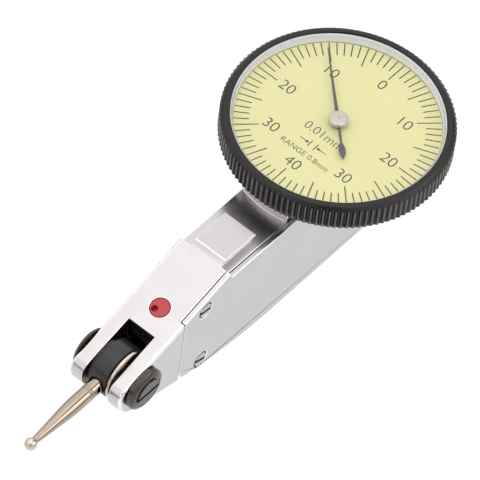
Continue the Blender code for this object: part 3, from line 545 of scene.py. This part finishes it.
# Chrome over a ground plate: a shade cooler, and cloudier over a wide face.
COVER_CHROME = metal("satin_chrome_cover", ("#C5C4C4", "#BCBBBB"), 0.24, 0.03, 0.22, 0.004, 9.0)
# Nickel polished before plating: warm, and nearly a mirror.
BRIGHT_NICKEL = metal("bright_nickel_plate", ("#AFA194", "#A69789"), 0.06, 0.01, 0.20, 0.002, 3.0)
# Brushed nickel-silver: warm white, with no clear reflection.
SATIN_SILVER = metal("satin_silver_plate", ("#C9C1BD", "#BDB4B0"), 0.34, 0.03, 0.20, 0.004, 3.0)

# %% Material: bare metals
# Tungsten carbide lapped to a ball: grey with a faint yellow, mirror bright.
CARBIDE = metal("lapped_carbide", ("#D3C9BE", "#C6BBAE"), 0.08, 0.02, 0.10, 0.002, 0.8)
# Screws turned on an automatic lathe: fine marks that break up the gloss.
TURNED_STEEL = metal("turned_screw_steel", ("#C9C6C2", "#A9A39A"), 0.25, 0.06, 0.30, 0.020, 0.8)
# Where a screwdriver has worn the plating off: brown and dull.
SLOT_BRASS = metal("worn_plating_in_screw_slot", ("#8F7563", "#4F4037"), 0.35, 0.06, 0.20, 0.020, 0.5)
# Steel from the surface grinder: plain grey and even.
GROUND_STEEL = metal("ground_steel", ("#B9B8B6", "#A9A8A6"), 0.32, 0.06, 0.15, 0.010, 2.0)
# Thin stamped brass with much zinc in it: pale, almost silver.
PALE_BRASS = metal("pale_washer_brass", ("#D8CCC0", "#C8BAAD"), 0.25, 0.04, 0.15, 0.006, 1.5)
# Clock brass, lapped: yellow, with a satin gloss.
MOVEMENT_BRASS = metal("satin_movement_brass", ("#CFA95A", "#BF9848"), 0.30, 0.05, 0.15, 0.010, 2.0)
# Spring steel tempered to blue: a dark, glossy blue.
BLUED_STEEL = metal("blued_spring_steel", ("#3A4668", "#2C3450"), 0.25, 0.04, 0.15, 0.005, 1.0)
print("finishes so far:", len(bpy.data.materials))

# %% [markdown]
# ### Blackened metals, paint and plastic
# Black oxide on steel and black anodising on aluminium are thin dark skins, not paint. They are modelled as
# dark dielectrics with a soft gloss, and the tint drifts between neutral and a faint brown.

# %% Material: black finishes
def skin(name, tints, roughness, spread, grain_mm, grain_depth, cloud_mm=3.0, specular=0.5):
    """A dark oxide, lacquer or plastic skin: not metallic, with a deeper grain than plate has."""
    made, shader = surface(name, tints, roughness, spread, grain_mm, grain_depth, cloud_mm, 4.0, 0.4)
    shader.inputs["Specular IOR Level"].default_value = specular
    return made


# Anodised and dyed aluminium: a deep black with a faint brown in it. Its knurl crests are lightened later,
# partly as wear and partly as painted highlight.
BLACK_ANODISE_WITH_WORN_HIGHLIT_CRESTS = skin(
    "black_anodised_aluminium_crest_wear_and_highlight", ("#110F0D", "#1B1816"), 0.26, 0.06, 0.25, 0.010, specular=0.36
)
# Oxidised steel, handled and oiled: brownish and glossy.
OILED_BLACK = skin(
    "oiled_black_oxide_screw", ("#1E1914", "#3F362B"), 0.18, 0.05, 0.35, 0.035, 1.0, specular=0.6
)
# The same oxide on the movement inside, dry and unworn: blacker. On the walls of the fork's slot it stands
# for painted shade.
BLACK_OXIDE_AND_SLOT_SHADE = skin("black_oxide_and_painted_slot_shade", ("#0F0D0C", "#221E19"), 0.24, 0.06, 0.30, 0.020, 1.2, specular=0.4)
# Oxide over blasted steel: grey-black and satin.
HUB_BLACK = skin("satin_black_oxide", ("#1E1D1D", "#272524"), 0.30, 0.05, 0.20, 0.010, specular=0.5)

# %% Material: coloured finishes
# Acetal, moulded: an even red with a soft gloss.
RED_PLUG = skin("moulded_red_acetal", ("#A6262B", "#B03338"), 0.22, 0.05, 0.30, 0.004)
# Stoved enamel: pale yellow and matt, so that it never glares.
DIAL_YELLOW = skin(
    "matt_yellow_dial_enamel", ("#D5D09E", "#D2CD98"), 0.55, 0.05, 0.15, 0.004, 8.0, specular=0.2
)
# Printing ink: dull, and a little brown at its thin edges.
DIAL_INK = skin("screen_printed_dial_ink", ("#1E1B12", "#282419"), 0.60, 0.05, 0.10, 0.004, 1.0, specular=0.2)
# Lacquer over brass: a warm dark grey.
HAND_LACQUER = skin("dark_lacquered_brass_hand", ("#2E2A25", "#3A352E"), 0.35, 0.05, 0.10, 0.004, 2.0)
# Silver lacquer: nearly white, because it has to throw light on the dial. On the crystal's rim wall the same
# white stands for a painted reflection.
RING_SILVER_AND_RIM_REFLECTION = skin("silver_lacquered_ring_and_painted_rim_reflection", ("#E6E8EE", "#DDDFE5"), 0.30, 0.05, 0.20, 0.004, 3.0)
# Grown ruby, polished: deep red and very glossy.
RUBY = skin("synthetic_ruby", ("#8E1230", "#A01838"), 0.10, 0.02, 0.20, 0.001, 1.0)
print("finishes so far:", len(bpy.data.materials))

# %% [markdown]
# ### The crystal's clear plastic
# The crystal is a thin domed sheet of acrylic. Light passes nearly straight through so thin a wall, so it
# is a see-through shader with a little mirror gloss that grows towards the rim, as Fresnel's law says.

# %% Material: clear acrylic
crystal_clear, tree, shader = start_material("clear_acrylic_crystal")
output = tree.nodes["Material Output"]
tree.nodes.remove(shader)
clear = add_node(tree, "ShaderNodeBsdfTransparent", {"Color": colour("#FDFDFB")})
shine = add_node(tree, "ShaderNodeBsdfGlossy", {"Color": colour("#FFFFFF"), "Roughness": 0.03})
facing = add_node(tree, "ShaderNodeLayerWeight", {"Blend": 0.5})
steep = add_node(tree, "ShaderNodeMath", {0: facing.outputs["Facing"], 1: 5.0}, operation="POWER")
mirror = add_node(
    tree, "ShaderNodeMath", {0: steep.outputs["Value"], 1: 0.96, 2: 0.03}, operation="MULTIPLY_ADD"
)
mix = add_node(
    tree,
    "ShaderNodeMixShader",
    {"Fac": mirror.outputs["Value"], 1: clear.outputs["BSDF"], 2: shine.outputs["BSDF"]},
)
tree.links.new(mix.outputs["Shader"], output.inputs["Surface"])
print(crystal_clear.name, "mirrors 3 % face on and 99 % edge on")

# %% [markdown]
# ### The case and its side cover
# The case is milled from one block, and the cover is a ground plate let into its side. Both are right as the
# frame has them, but a real edge is never perfectly sharp: it is broken by a few tenths of a millimetre, and
# that narrow band catches the light. So each is a softened copy. The rim of the fork is broken much wider,
# because fingers and files go round it, and each edge gets its own width as a bevel weight. The sloping face
# has a hole in it, so a plain face can't fill it: one straight cut through the hole makes two plain ones.

# %% Case
HALF_WIDTH = 5.5 * MM
SLOT_HALF = 2.82 * MM
SLOT_END_X = -20.4 * MM
COVER_JOINT_X = cover_low.x
SLOPE = math.radians(17.4)
WIDEST_BREAK = 0.5
FINE_PART = 0.24
FADE_FROM_Z, FADE_OVER = -15.5 * MM, 3.5 * MM
SCREW_HOLE = 3 * MM


def case_edge(middle):
    """How wide each edge is broken: the fork's outer rim much more than the rest, fading round the tip."""
    outside = abs(middle.y) > HALF_WIDTH - 0.05 * MM and middle.x < COVER_JOINT_X - 0.4 * MM
    away = math.hypot(middle.x - PIVOT.x, middle.z - PIVOT.z) > SCREW_HOLE
    if not (outside and away):
        return FINE_PART
    return FINE_PART + (1 - FINE_PART) * min(max((middle.z - FADE_FROM_Z) / FADE_OVER, 0), 1)


def shaded_slot_wall(middle, normal):
    """The walls of the slot in which the stylus drum turns, made black as painted shade."""
    return abs(middle.y) < SLOT_HALF and middle.x < SLOT_END_X and abs(normal.z) < 0.9


case = copied("case_frame", "case_body")
plug_low, plug_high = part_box("adjuster_plug")
flat_bridge(case, Vector((-math.sin(SLOPE), 0, math.cos(SLOPE))), (plug_low.x + plug_high.x) / 2)
# The case's bevels get the whiter chrome: a painted highlight along each edge.
softened_by_weight(case, WIDEST_BREAK, case_edge, EDGE_HIGHLIGHT_CHROME)
settle(case, "case", "case_steel", SATIN_CHROME, "case_frame")
# The slot's walls get black oxide as painted shade.
lined(case, BLACK_OXIDE_AND_SLOT_SHADE, shaded_slot_wall)

# %% Side cover
# The cover's bevels get the same whiter chrome as a painted highlight.
cover = softened(copied("side_cover", "side_plate"), 0.16, edge_highlight_material=EDGE_HIGHLIGHT_CHROME)
settle(cover, "case", "cover_steel", COVER_CHROME, "side_cover")

# %% [markdown]
# ### The pivot screws
# Two black screws carry the stylus. Each head is a stepped disc with a screwdriver slot. They are turned
# first, then slotted, and the frame tells how far each stands out of the fork.

# %% Pivot screws
FORK_SIDE = 5.65
STEM_RADIUS, POINT_RADIUS, POINT_LENGTH = 1.5, 0.6, 0.85
DISC_PART = 0.66
SLOT_HALF_WIDTH, SLOT_DEPTH, SLOT_HEADROOM = 0.34 * MM, 0.5 * MM, 1.0 * MM


def pivot_screw(name, node, side, turn):
    """A stepped round head with a slotted disc in its middle, on a stem that ends in a point."""
    low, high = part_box(node)
    radius = (high.x - low.x) / 2 / MM
    face = (high.y if side > 0 else low.y) / MM
    length = (high.y - low.y) / MM
    head = abs(face) - FORK_SIDE
    disc = DISC_PART * radius
    outline = [
        (0, 0),
        (disc - 0.12, 0),
        (disc, -0.1),
        (disc, -0.38),
        (disc + 0.25, -0.38),
        (disc + 0.4, -0.24),
        (radius - 0.5, -0.34),
        (radius - 0.12, -0.6),
        (radius, -0.82),
        (radius, -head + 0.12),
        (radius - 0.12, -head),
        (STEM_RADIUS, -head),
        (STEM_RADIUS, -length + POINT_LENGTH),
        (POINT_RADIUS, -length + POINT_LENGTH),
        (0, -length),
    ]
    piece = turned(name, outline, (PIVOT.x, face * MM, PIVOT.z), turn)
    reach = (disc + 0.12) * MM
    slot = bar("slot", (-reach, -SLOT_HALF_WIDTH, -SLOT_DEPTH), (reach, SLOT_HALF_WIDTH, SLOT_HEADROOM))
    apply_place(slot, (PIVOT.x, face * MM, PIVOT.z), turn)
    take_out(piece, slot)
    return settle(piece, "case", "black_oxide", OILED_BLACK, node)


pivot_screw("pivot_screw_head_near", "pivot_screw_near", -1, TO_NEAR_SIDE)
pivot_screw("pivot_screw_head_far", "pivot_screw_far", 1, TO_FAR_SIDE)

# %% [markdown]
# ### The cover screws
# Four small steel screws sit in countersinks. They are alike but for the way their slots point, so one loop
# turns each where the frame has its solid. The floor of each slot is worn through its plating.

# %% Cover screws
SLOT_TURN = {"upper_front": 10, "lower_front": 20, "upper_rear": 75, "lower_rear": -30}
COVER_SCREW = [(0, 0.0), (1.26, 0.0), (1.38, -0.08), (1.41, -0.3), (0.8, -1.1), (0.8, -3.75), (0, -3.75)]
SLOT_LOW = (-3.0 * MM, -0.3 * MM, -0.45 * MM)
SLOT_HIGH = (3.0 * MM, 0.3 * MM, 1.0 * MM)
for place, degrees in SLOT_TURN.items():
    node = "cover_screw_" + place
    low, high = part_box(node)
    centre = Vector(((low.x + high.x) / 2, low.y, (low.z + high.z) / 2))
    screw = turned("screw_" + place, COVER_SCREW, centre, TO_NEAR_SIDE, steps=64)
    slot = bar("slot", SLOT_LOW, SLOT_HIGH)
    apply_place(slot, centre, (math.pi / 2, math.radians(degrees), 0))
    take_out(screw, slot)
    settle(screw, "case", "screw_steel", TURNED_STEEL, node)

    def slot_floor(middle, normal):
        """The floor of the slot, which is a little below the screw's face."""
        return 0.05 * MM < middle.y - centre.y < 0.5 * MM and abs(normal.y) > 0.9

    lined(screw, SLOT_BRASS, slot_floor)

# %% [markdown]
# ### The red adjusting plug
# A small plastic plug closes a hole in the sloping face. Its own hole is off centre.

# %% Red plug
plug = softened(copied("adjuster_plug", "red_adjusting_plug"), 0.1)
settle(plug, "case", "red_plug", RED_PLUG, "adjuster_plug")

# %% [markdown]
# ### The drum and its clutch
# The drum that holds the stylus is turned, black and satin. A pale washer presses on its near side: that
# friction is the clutch which lets the stylus be set at any angle.

# %% Drum, washer and arbor
drum = softened(copied("hub_drum", "stylus_drum"), 0.1)
settle(drum, "stylus", "hub_black", HUB_BLACK, "hub_drum")
washer = softened(copied("clutch_washer", "friction_washer"), 0.08)
settle(washer, "lever", "washer_brass", PALE_BRASS, "clutch_washer")

# %% [markdown]
# ### The stylus
# A long slim taper with a pair of fine grooves near its root, and a hard ball brazed to its tip. The taper is
# one outline turned round the stylus's own axis, and so is the ball with the small collar of braze behind it.

# %% Stylus
REACH = (PIVOT - BALL).length / MM
shank_outline = [
    (0, REACH - 0.9),
    (0.60, REACH - 0.92),
    (0.66, REACH - 1.1),
    (0.71, REACH - 1.8),
    (1.02, REACH - 5.2),
    (1.30, REACH - 8.2),
    (1.40, REACH - 9.8),
    (1.42, REACH - 11.4),
    (1.42, 7.42),
    (1.36, 7.36),
    (1.30, 7.28),
    (1.36, 7.20),
    (1.42, 7.14),
    (1.42, 6.94),
    (1.36, 6.88),
    (1.30, 6.80),
    (1.36, 6.72),
    (1.42, 6.66),
    (1.42, 4.55),
    (1.34, 4.45),
    (0.8, 4.45),
    (0.8, 2.2),
    (0, 2.2),
]
shank = turned("stylus_taper", shank_outline, PIVOT, STYLUS_TURN)
settle(shank, "stylus", "stylus_nickel", BRIGHT_NICKEL, "stylus_shank")

# %% Ball
BALL_RADIUS = 1.1
BALL_STEPS = 25
STEP_ANGLE = 5.8
ball_outline = [(0, REACH + BALL_RADIUS)]
for step in range(1, BALL_STEPS + 1):
    angle = math.radians(90 - step * STEP_ANGLE)
    ball_outline.append((BALL_RADIUS * math.cos(angle), REACH + BALL_RADIUS * math.sin(angle)))
ball_outline.append((0, REACH - 0.86))
tip = turned("hard_ball", ball_outline, PIVOT, STYLUS_TURN, steps=64)
settle(tip, "stylus", "ball_carbide", CARBIDE, "contact_ball")

# %% [markdown]
# ### The knurled bezel
# The ring that is turned to set zero has 120 straight grooves, each milled by a small round cutter that runs
# out through the chamfer and leaves an arch there. The ring is spun in fine steps, six to a groove. Then each
# set of steps is drawn in towards the axis to the cutter's depth. Its top corners slide along the chamfer
# while it is drawn in, and that makes the arches. The crests of the ridges are painted lighter, partly as
# wear of the black and partly as a painted highlight where they catch the light, and that is what makes a
# knurl
# readable: the finish turns lighter with the distance from the dial's axis.

# %% Wear and painted highlight on the ridges
CREST_WEAR_AND_HIGHLIGHT_FROM, CREST_WEAR_AND_HIGHLIGHT_FULL = 19.80 * MM, 19.99 * MM


def crest_wear_and_highlight(made):
    """Paints the crests of the knurl a lighter grey, by their distance from the dial's axis: partly wear,
    partly a painted highlight.
    """
    tree = made.node_tree
    tint = next(link.from_node for link in tree.links if link.to_socket.name == "Base Color")
    place = add_node(tree, "ShaderNodeTexCoord").outputs["Object"]
    across = add_node(tree, "ShaderNodeVectorMath", {0: place, 1: (-DIAL.x, 0, 0)}, operation="ADD")
    level = add_node(
        tree, "ShaderNodeVectorMath", {0: across.outputs["Vector"], 1: (1, 1, 0)}, operation="MULTIPLY"
    )
    radius = add_node(tree, "ShaderNodeVectorMath", {0: level.outputs["Vector"]}, operation="LENGTH")
    crest = add_node(
        tree,
        "ShaderNodeMapRange",
        {"Value": radius.outputs["Value"], "From Min": CREST_WEAR_AND_HIGHLIGHT_FROM, "From Max": CREST_WEAR_AND_HIGHLIGHT_FULL},
    )
    # The crests turn a lighter grey: partly wear, partly a painted highlight.
    worn = add_node(
        tree,
        "ShaderNodeMix",
        {"Factor": crest.outputs["Result"], "A": tint.outputs["Result"], "B": colour("#5A5653")},
        data_type="RGBA",
    )
    tree.links.new(worn.outputs["Result"], tree.nodes["Principled BSDF"].inputs["Base Color"])
    print(made.name, "is worn from a radius of", CREST_WEAR_AND_HIGHLIGHT_FROM, "m outwards")


crest_wear_and_highlight(BLACK_ANODISE_WITH_WORN_HIGHLIT_CRESTS)

# %% Bezel: the ring
GROOVES = 120
STEPS = 6
RIM = 20.0
GROOVE_RADIUS = {2: 19.74, 3: 19.55, 4: 19.55, 5: 19.74}
bezel_outline = [
    (18.25, 6.60),
    (18.38, 6.74),
    (19.10, 6.74),
    (19.24, 6.68),
    (RIM, 5.86),
    (RIM, 1.95),
    (19.50, 1.56),
    (18.66, 1.56),
    (18.66, 3.65),
    (17.05, 3.65),
    (17.05, 4.15),
    (18.25, 4.15),
]
TOP_SLOPE = (6.68 - 5.86) / (RIM - 19.24)
LOW_SLOPE = (1.56 - 1.95) / (RIM - 19.50)
bezel = turned("knurled_bezel", bezel_outline, (DIAL.x, 0, 0), steps=STEPS * GROOVES, closed=True)
print(bezel.name, "starts with", len(bezel.data.polygons), "faces")

# %% Bezel: the grooves
MIDDLE_Z = 4 * MM
only(bezel)
bpy.ops.object.mode_set(mode="EDIT")
for step, radius in GROOVE_RADIUS.items():
    for top in (True, False):
        bpy.ops.mesh.select_all(action="DESELECT")
        mesh = bmesh.from_edit_mesh(bezel.data)
        for vert in mesh.verts:
            across = vert.co.x - DIAL.x
            number = round(math.atan2(vert.co.y, across) / math.tau * STEPS * GROOVES)
            outer = math.hypot(across, vert.co.y) > (RIM - 0.03) * MM
            vert.select = outer and number % STEPS == step and (vert.co.z > MIDDLE_Z) == top
        mesh.select_flush(True)
        bmesh.update_edit_mesh(bezel.data)
        slide = (RIM - radius) * (TOP_SLOPE if top else LOW_SLOPE) * MM
        bpy.ops.transform.translate(value=(0, 0, slide))
        bpy.ops.transform.resize(value=(radius / RIM, radius / RIM, 1), center_override=(DIAL.x, 0, 0))
bpy.ops.object.mode_set(mode="OBJECT")
bpy.ops.object.shade_smooth_by_angle(angle=SMOOTH_BELOW)
settle(bezel, "bezel", "bezel_black", BLACK_ANODISE_WITH_WORN_HIGHLIT_CRESTS, "bezel")

# %% [markdown]
# ### The dial
# A thin yellow plate carries eighty divisions and their numbers. The printing is real geometry a hundredth
# of a millimetre thick, because a mark that is solid survives every export. One mark of each length is
# modelled, and spin copies it round.

# %% Dial plate
plate_outline = [(17.68, 4.75), (17.70, 4.73), (17.70, 4.37), (17.68, 4.35), (1.1, 4.35), (1.1, 4.75)]
plate = turned("yellow_dial", plate_outline, (DIAL.x, 0, 0), steps=160, closed=True)
settle(plate, "bezel", "dial_yellow", DIAL_YELLOW, "dial_plate")

# %% Divisions of the dial
PRINT_LOW = DIAL.z + 0.002 * MM
PRINT_HIGH = DIAL.z + 0.014 * MM
LONG_MARKS = 16
DIVISION = 4.5
MARK_WIDTH = 0.20
MARK_END = 17.55


def mark(name, inner, outer, width, degrees):
    """One printed line of the scale, running out from the centre at an angle."""
    low = (inner * MM, -width * MM / 2, PRINT_LOW)
    high = (outer * MM, width * MM / 2, PRINT_HIGH)
    piece = bar(name, low, high)
    apply_place(piece, (DIAL.x, 0, 0), (0, 0, math.radians(degrees)))
    return piece


def spun_copies(piece, count, degrees):
    """Copies the piece's mesh in equal steps round the dial's axis."""
    only(piece)
    bpy.ops.object.mode_set(mode="EDIT")
    bpy.ops.mesh.select_all(action="SELECT")
    bpy.ops.mesh.spin(
        steps=count, dupli=True, angle=math.radians(degrees), center=(DIAL.x, 0, 0), axis=(0, 0, -1)
    )
    bpy.ops.mesh.select_all(action="SELECT")
    bpy.ops.mesh.remove_doubles(threshold=0.001 * MM)
    bpy.ops.mesh.normals_make_consistent(inside=False)
    bpy.ops.object.mode_set(mode="OBJECT")


long_marks = mark("long_marks", 13.35, MARK_END, MARK_WIDTH, 0)
spun_copies(long_marks, LONG_MARKS, 360)
short_marks = mark("short_marks", 14.85, MARK_END, MARK_WIDTH, DIVISION)
spun_copies(short_marks, 3, 3 * DIVISION)
spun_copies(short_marks, LONG_MARKS, 360)
print("marks:", len(long_marks.data.polygons) // 6, "long and", len(short_marks.data.polygons) // 6, "short")

# %% [markdown]
# ### Numbers, words and the travel sign
# The numbers count hundredths of a millimetre both ways from nought. Text objects are the easy way to
# letters. They are turned into meshes at once, then placed, and everything printed is joined, since one pass
# of the screen prints it all. Under the unit stands the usual sign for one division: two arrows that meet
# two bars.

# %% Lettering
def lettering(name, words, along, across, size, thin):
    """Printed words with their tops towards +X; along and across are mm from the centre."""
    bpy.ops.object.select_all(action="DESELECT")
    bpy.ops.object.text_add(location=(0, 0, 0))
    piece = bpy.context.object
    piece.name = name
    piece.data.body = words
    piece.data.align_x = "CENTER"
    piece.data.align_y = "CENTER"
    piece.data.size = size * MM
    piece.data.offset = -thin * MM
    piece.data.extrude = (PRINT_HIGH - PRINT_LOW) / 2
    bpy.ops.object.convert(target="MESH")
    apply_place(piece, (DIAL.x + along * MM, across * MM, PRINT_MIDDLE), (0, 0, -math.pi / 2))
    return piece


PRINT_MIDDLE = (PRINT_LOW + PRINT_HIGH) / 2
NUMBER_SIZE, NUMBER_THIN = 3.1, 0.035
prints = [long_marks, short_marks]
for words, along, across in (
    ("0", 11.65, 0),
    ("10", 7.9, -7.95),
    ("20", 0, -11.15),
    ("30", -8.0, -7.85),
    ("40", -11.75, 0),
    ("30", -8.1, 7.85),
    ("20", 0, 11.15),
    ("10", 7.8, 8.1),
):
    prints.append(lettering("number", words, along, across, NUMBER_SIZE, NUMBER_THIN))
prints.append(lettering("unit", "0.01mm", -3.65, -0.1, 2.5, 0.03))
prints.append(lettering("span", "RANGE 0.8mm", -8.95, -0.2, 1.62, 0.015))
print("words and numbers:", len(prints) - 2)

# %% Travel sign
SIGN_X = DIAL.x - 6.5 * MM
BAR_PLACE, BAR_HALF_WIDTH, BAR_HALF_LENGTH = 0.62 * MM, 0.09 * MM, 0.75 * MM
STEM_NEAR, STEM_FAR, STEM_HALF_WIDTH = 0.9 * MM, 2.8 * MM, 0.07 * MM
HEAD_PLACE, HEAD_RADIUS = 1.2 * MM, 0.42 * MM


def printed_bar(name, from_x, to_x, from_y, to_y):
    """A printed stroke between two places along and two across, in metres."""
    low_y, high_y = sorted((from_y, to_y))
    return bar(name, (from_x, low_y, PRINT_LOW), (to_x, high_y, PRINT_HIGH))


def arrow_head(side):
    """A three-cornered arrow head whose tip points at the bars."""
    bpy.ops.object.select_all(action="DESELECT")
    bpy.ops.mesh.primitive_cylinder_add(
        vertices=3, radius=HEAD_RADIUS, depth=PRINT_HIGH - PRINT_LOW, location=(0, 0, 0)
    )
    piece = bpy.context.object
    piece.name = "arrow_head"
    piece.scale = (0.8, 1.1, 1)
    bpy.ops.object.transform_apply(location=True, rotation=True, scale=True)
    apply_place(piece, (SIGN_X, side * HEAD_PLACE, PRINT_MIDDLE), (0, 0, math.pi if side > 0 else 0))
    return piece


for side in (-1, 1):
    across = side * BAR_PLACE
    ends = SIGN_X - BAR_HALF_LENGTH, SIGN_X + BAR_HALF_LENGTH
    prints.append(printed_bar("limit_bar", *ends, across - BAR_HALF_WIDTH, across + BAR_HALF_WIDTH))
    edges = SIGN_X - STEM_HALF_WIDTH, SIGN_X + STEM_HALF_WIDTH
    prints.append(printed_bar("arrow_stem", *edges, side * STEM_NEAR, side * STEM_FAR))
    prints.append(arrow_head(side))
print("printed pieces:", len(prints))

# %% All the printing in one piece
only(long_marks)
for piece in prints:
    piece.select_set(True)
bpy.ops.object.join()
long_marks.name = "dial_printing"
settle(long_marks, "bezel", "hand_dark", DIAL_INK)

# %% [markdown]
# ### Ring, crystal, hand and cap
# A bright ring fills the step between the dial and the crystal. The crystal is domed, the hand is a flat
# leaf of lacquered brass, and a silver cap hides its boss.

# %% Ring
ring_low, ring_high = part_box("reflector_ring")
RING_TOP = 6.44
ring_outline = [
    (18.22, RING_TOP),
    (18.22, ring_low.z / MM),
    (17.72, ring_low.z / MM),
    (17.90, ring_high.z / MM),
    (18.14, RING_TOP),
]
ring = turned("bright_ring", ring_outline, (DIAL.x, 0, 0), steps=160, closed=True)
settle(ring, "bezel", "ring_silver", RING_SILVER_AND_RIM_REFLECTION, "reflector_ring")

# %% Crystal
CRYSTAL_RIM, RIM_TOP, RIM_BOTTOM = 17.88, 6.19, 5.56
DOME_RISE, DOME_STEPS = 1.05, 12
WALL = 0.62
dome = []
for step in range(DOME_STEPS + 1):
    part = step / DOME_STEPS
    dome.append((CRYSTAL_RIM * part, RIM_TOP + DOME_RISE * (1 - part * part)))
under = [(radius * 0.95, height - WALL) for radius, height in reversed(dome[:-1])]
crystal_outline = [*dome, (CRYSTAL_RIM, RIM_BOTTOM), (CRYSTAL_RIM * 0.96, RIM_BOTTOM), *under]


def upright(middle, normal):
    """The crystal's rim wall, where the ring's silver stands for a painted reflection in the clear acrylic.
    """
    return abs(normal.z) < 0.2


crystal = turned("domed_crystal", crystal_outline, (DIAL.x, 0, 0), steps=160)
settle(crystal, "bezel", "crystal_clear", crystal_clear, "crystal")
# The clear rim wall gets the ring's silver: a painted reflection.
lined(crystal, RING_SILVER_AND_RIM_REFLECTION, upright)

# %% Hand and cap
hand = softened(copied("pointer_hand", "leaf_hand"), 0.02, 1)
settle(hand, "pointer", "hand_dark", HAND_LACQUER, "pointer_hand")
cap_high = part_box("pointer_cap")[1]
top = cap_high.z / MM
cap_outline = [
    (0, top - 0.16),
    (0.14, top - 0.15),
    (0.22, top - 0.02),
    (0.8, top - 0.03),
    (1.3, top - 0.08),
    (1.52, top - 0.14),
    (1.64, top - 0.26),
    (1.64, top - 0.74),
    (0.55, top - 0.74),
    (0.55, top - 0.45),
    (0, top - 0.45),
]
cap = turned("silver_cap", cap_outline, (DIAL.x, 0, 0), steps=64)
settle(cap, "pointer", "cap_silver", SATIN_SILVER, "pointer_cap")

# %% [markdown]
# ### Inside the case
# The movement is hidden when the cover is on, but it is all there. Its solids stay as the frame has them and
# only get their finishes.

# %% Finishes of the movement
MOVEMENT = {
    "movement_plate": MOVEMENT_BRASS,
    "sector_gear": MOVEMENT_BRASS,
    "crown_gear": MOVEMENT_BRASS,
    "hairspring_collet": MOVEMENT_BRASS,
    "hairspring_stud": MOVEMENT_BRASS,
    "foot_jewel": RUBY,
    "centre_bush": RUBY,
    "hairspring": BLUED_STEEL,
    "clutch_spring": BLUED_STEEL,
    "bezel_snap_ring": BLUED_STEEL,
    "base_screw_front": TURNED_STEEL,
    "base_screw_rear": TURNED_STEEL,
    "transfer_lever": BLACK_OXIDE_AND_SLOT_SHADE,
    "pivot_arbor": BLACK_OXIDE_AND_SLOT_SHADE,
    "drive_pin": BLACK_OXIDE_AND_SLOT_SHADE,
}
replaced = {node for piece in bpy.data.objects for node in piece.get("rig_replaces", [])}
for name, node in frame["nodes"].items():
    if name not in replaced:
        node.data.materials.clear()
        node.data.materials.append(MOVEMENT.get(name, GROUND_STEEL))
print("solids kept from the frame:", len(frame["nodes"]) - len(replaced))

# %% [markdown]
# ### Last: sizes and finish
# The finished model has to be as large as the frame, so both boxes are printed.

# %% Finish
sizes = {"cad": [list(corner) for corner in CAD_BOX], "visual": [list(corner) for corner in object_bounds()]}
for box, corners in sizes.items():
    print(box, "box in mm:", [round((high - low) / MM, 2) for low, high in zip(*corners)])
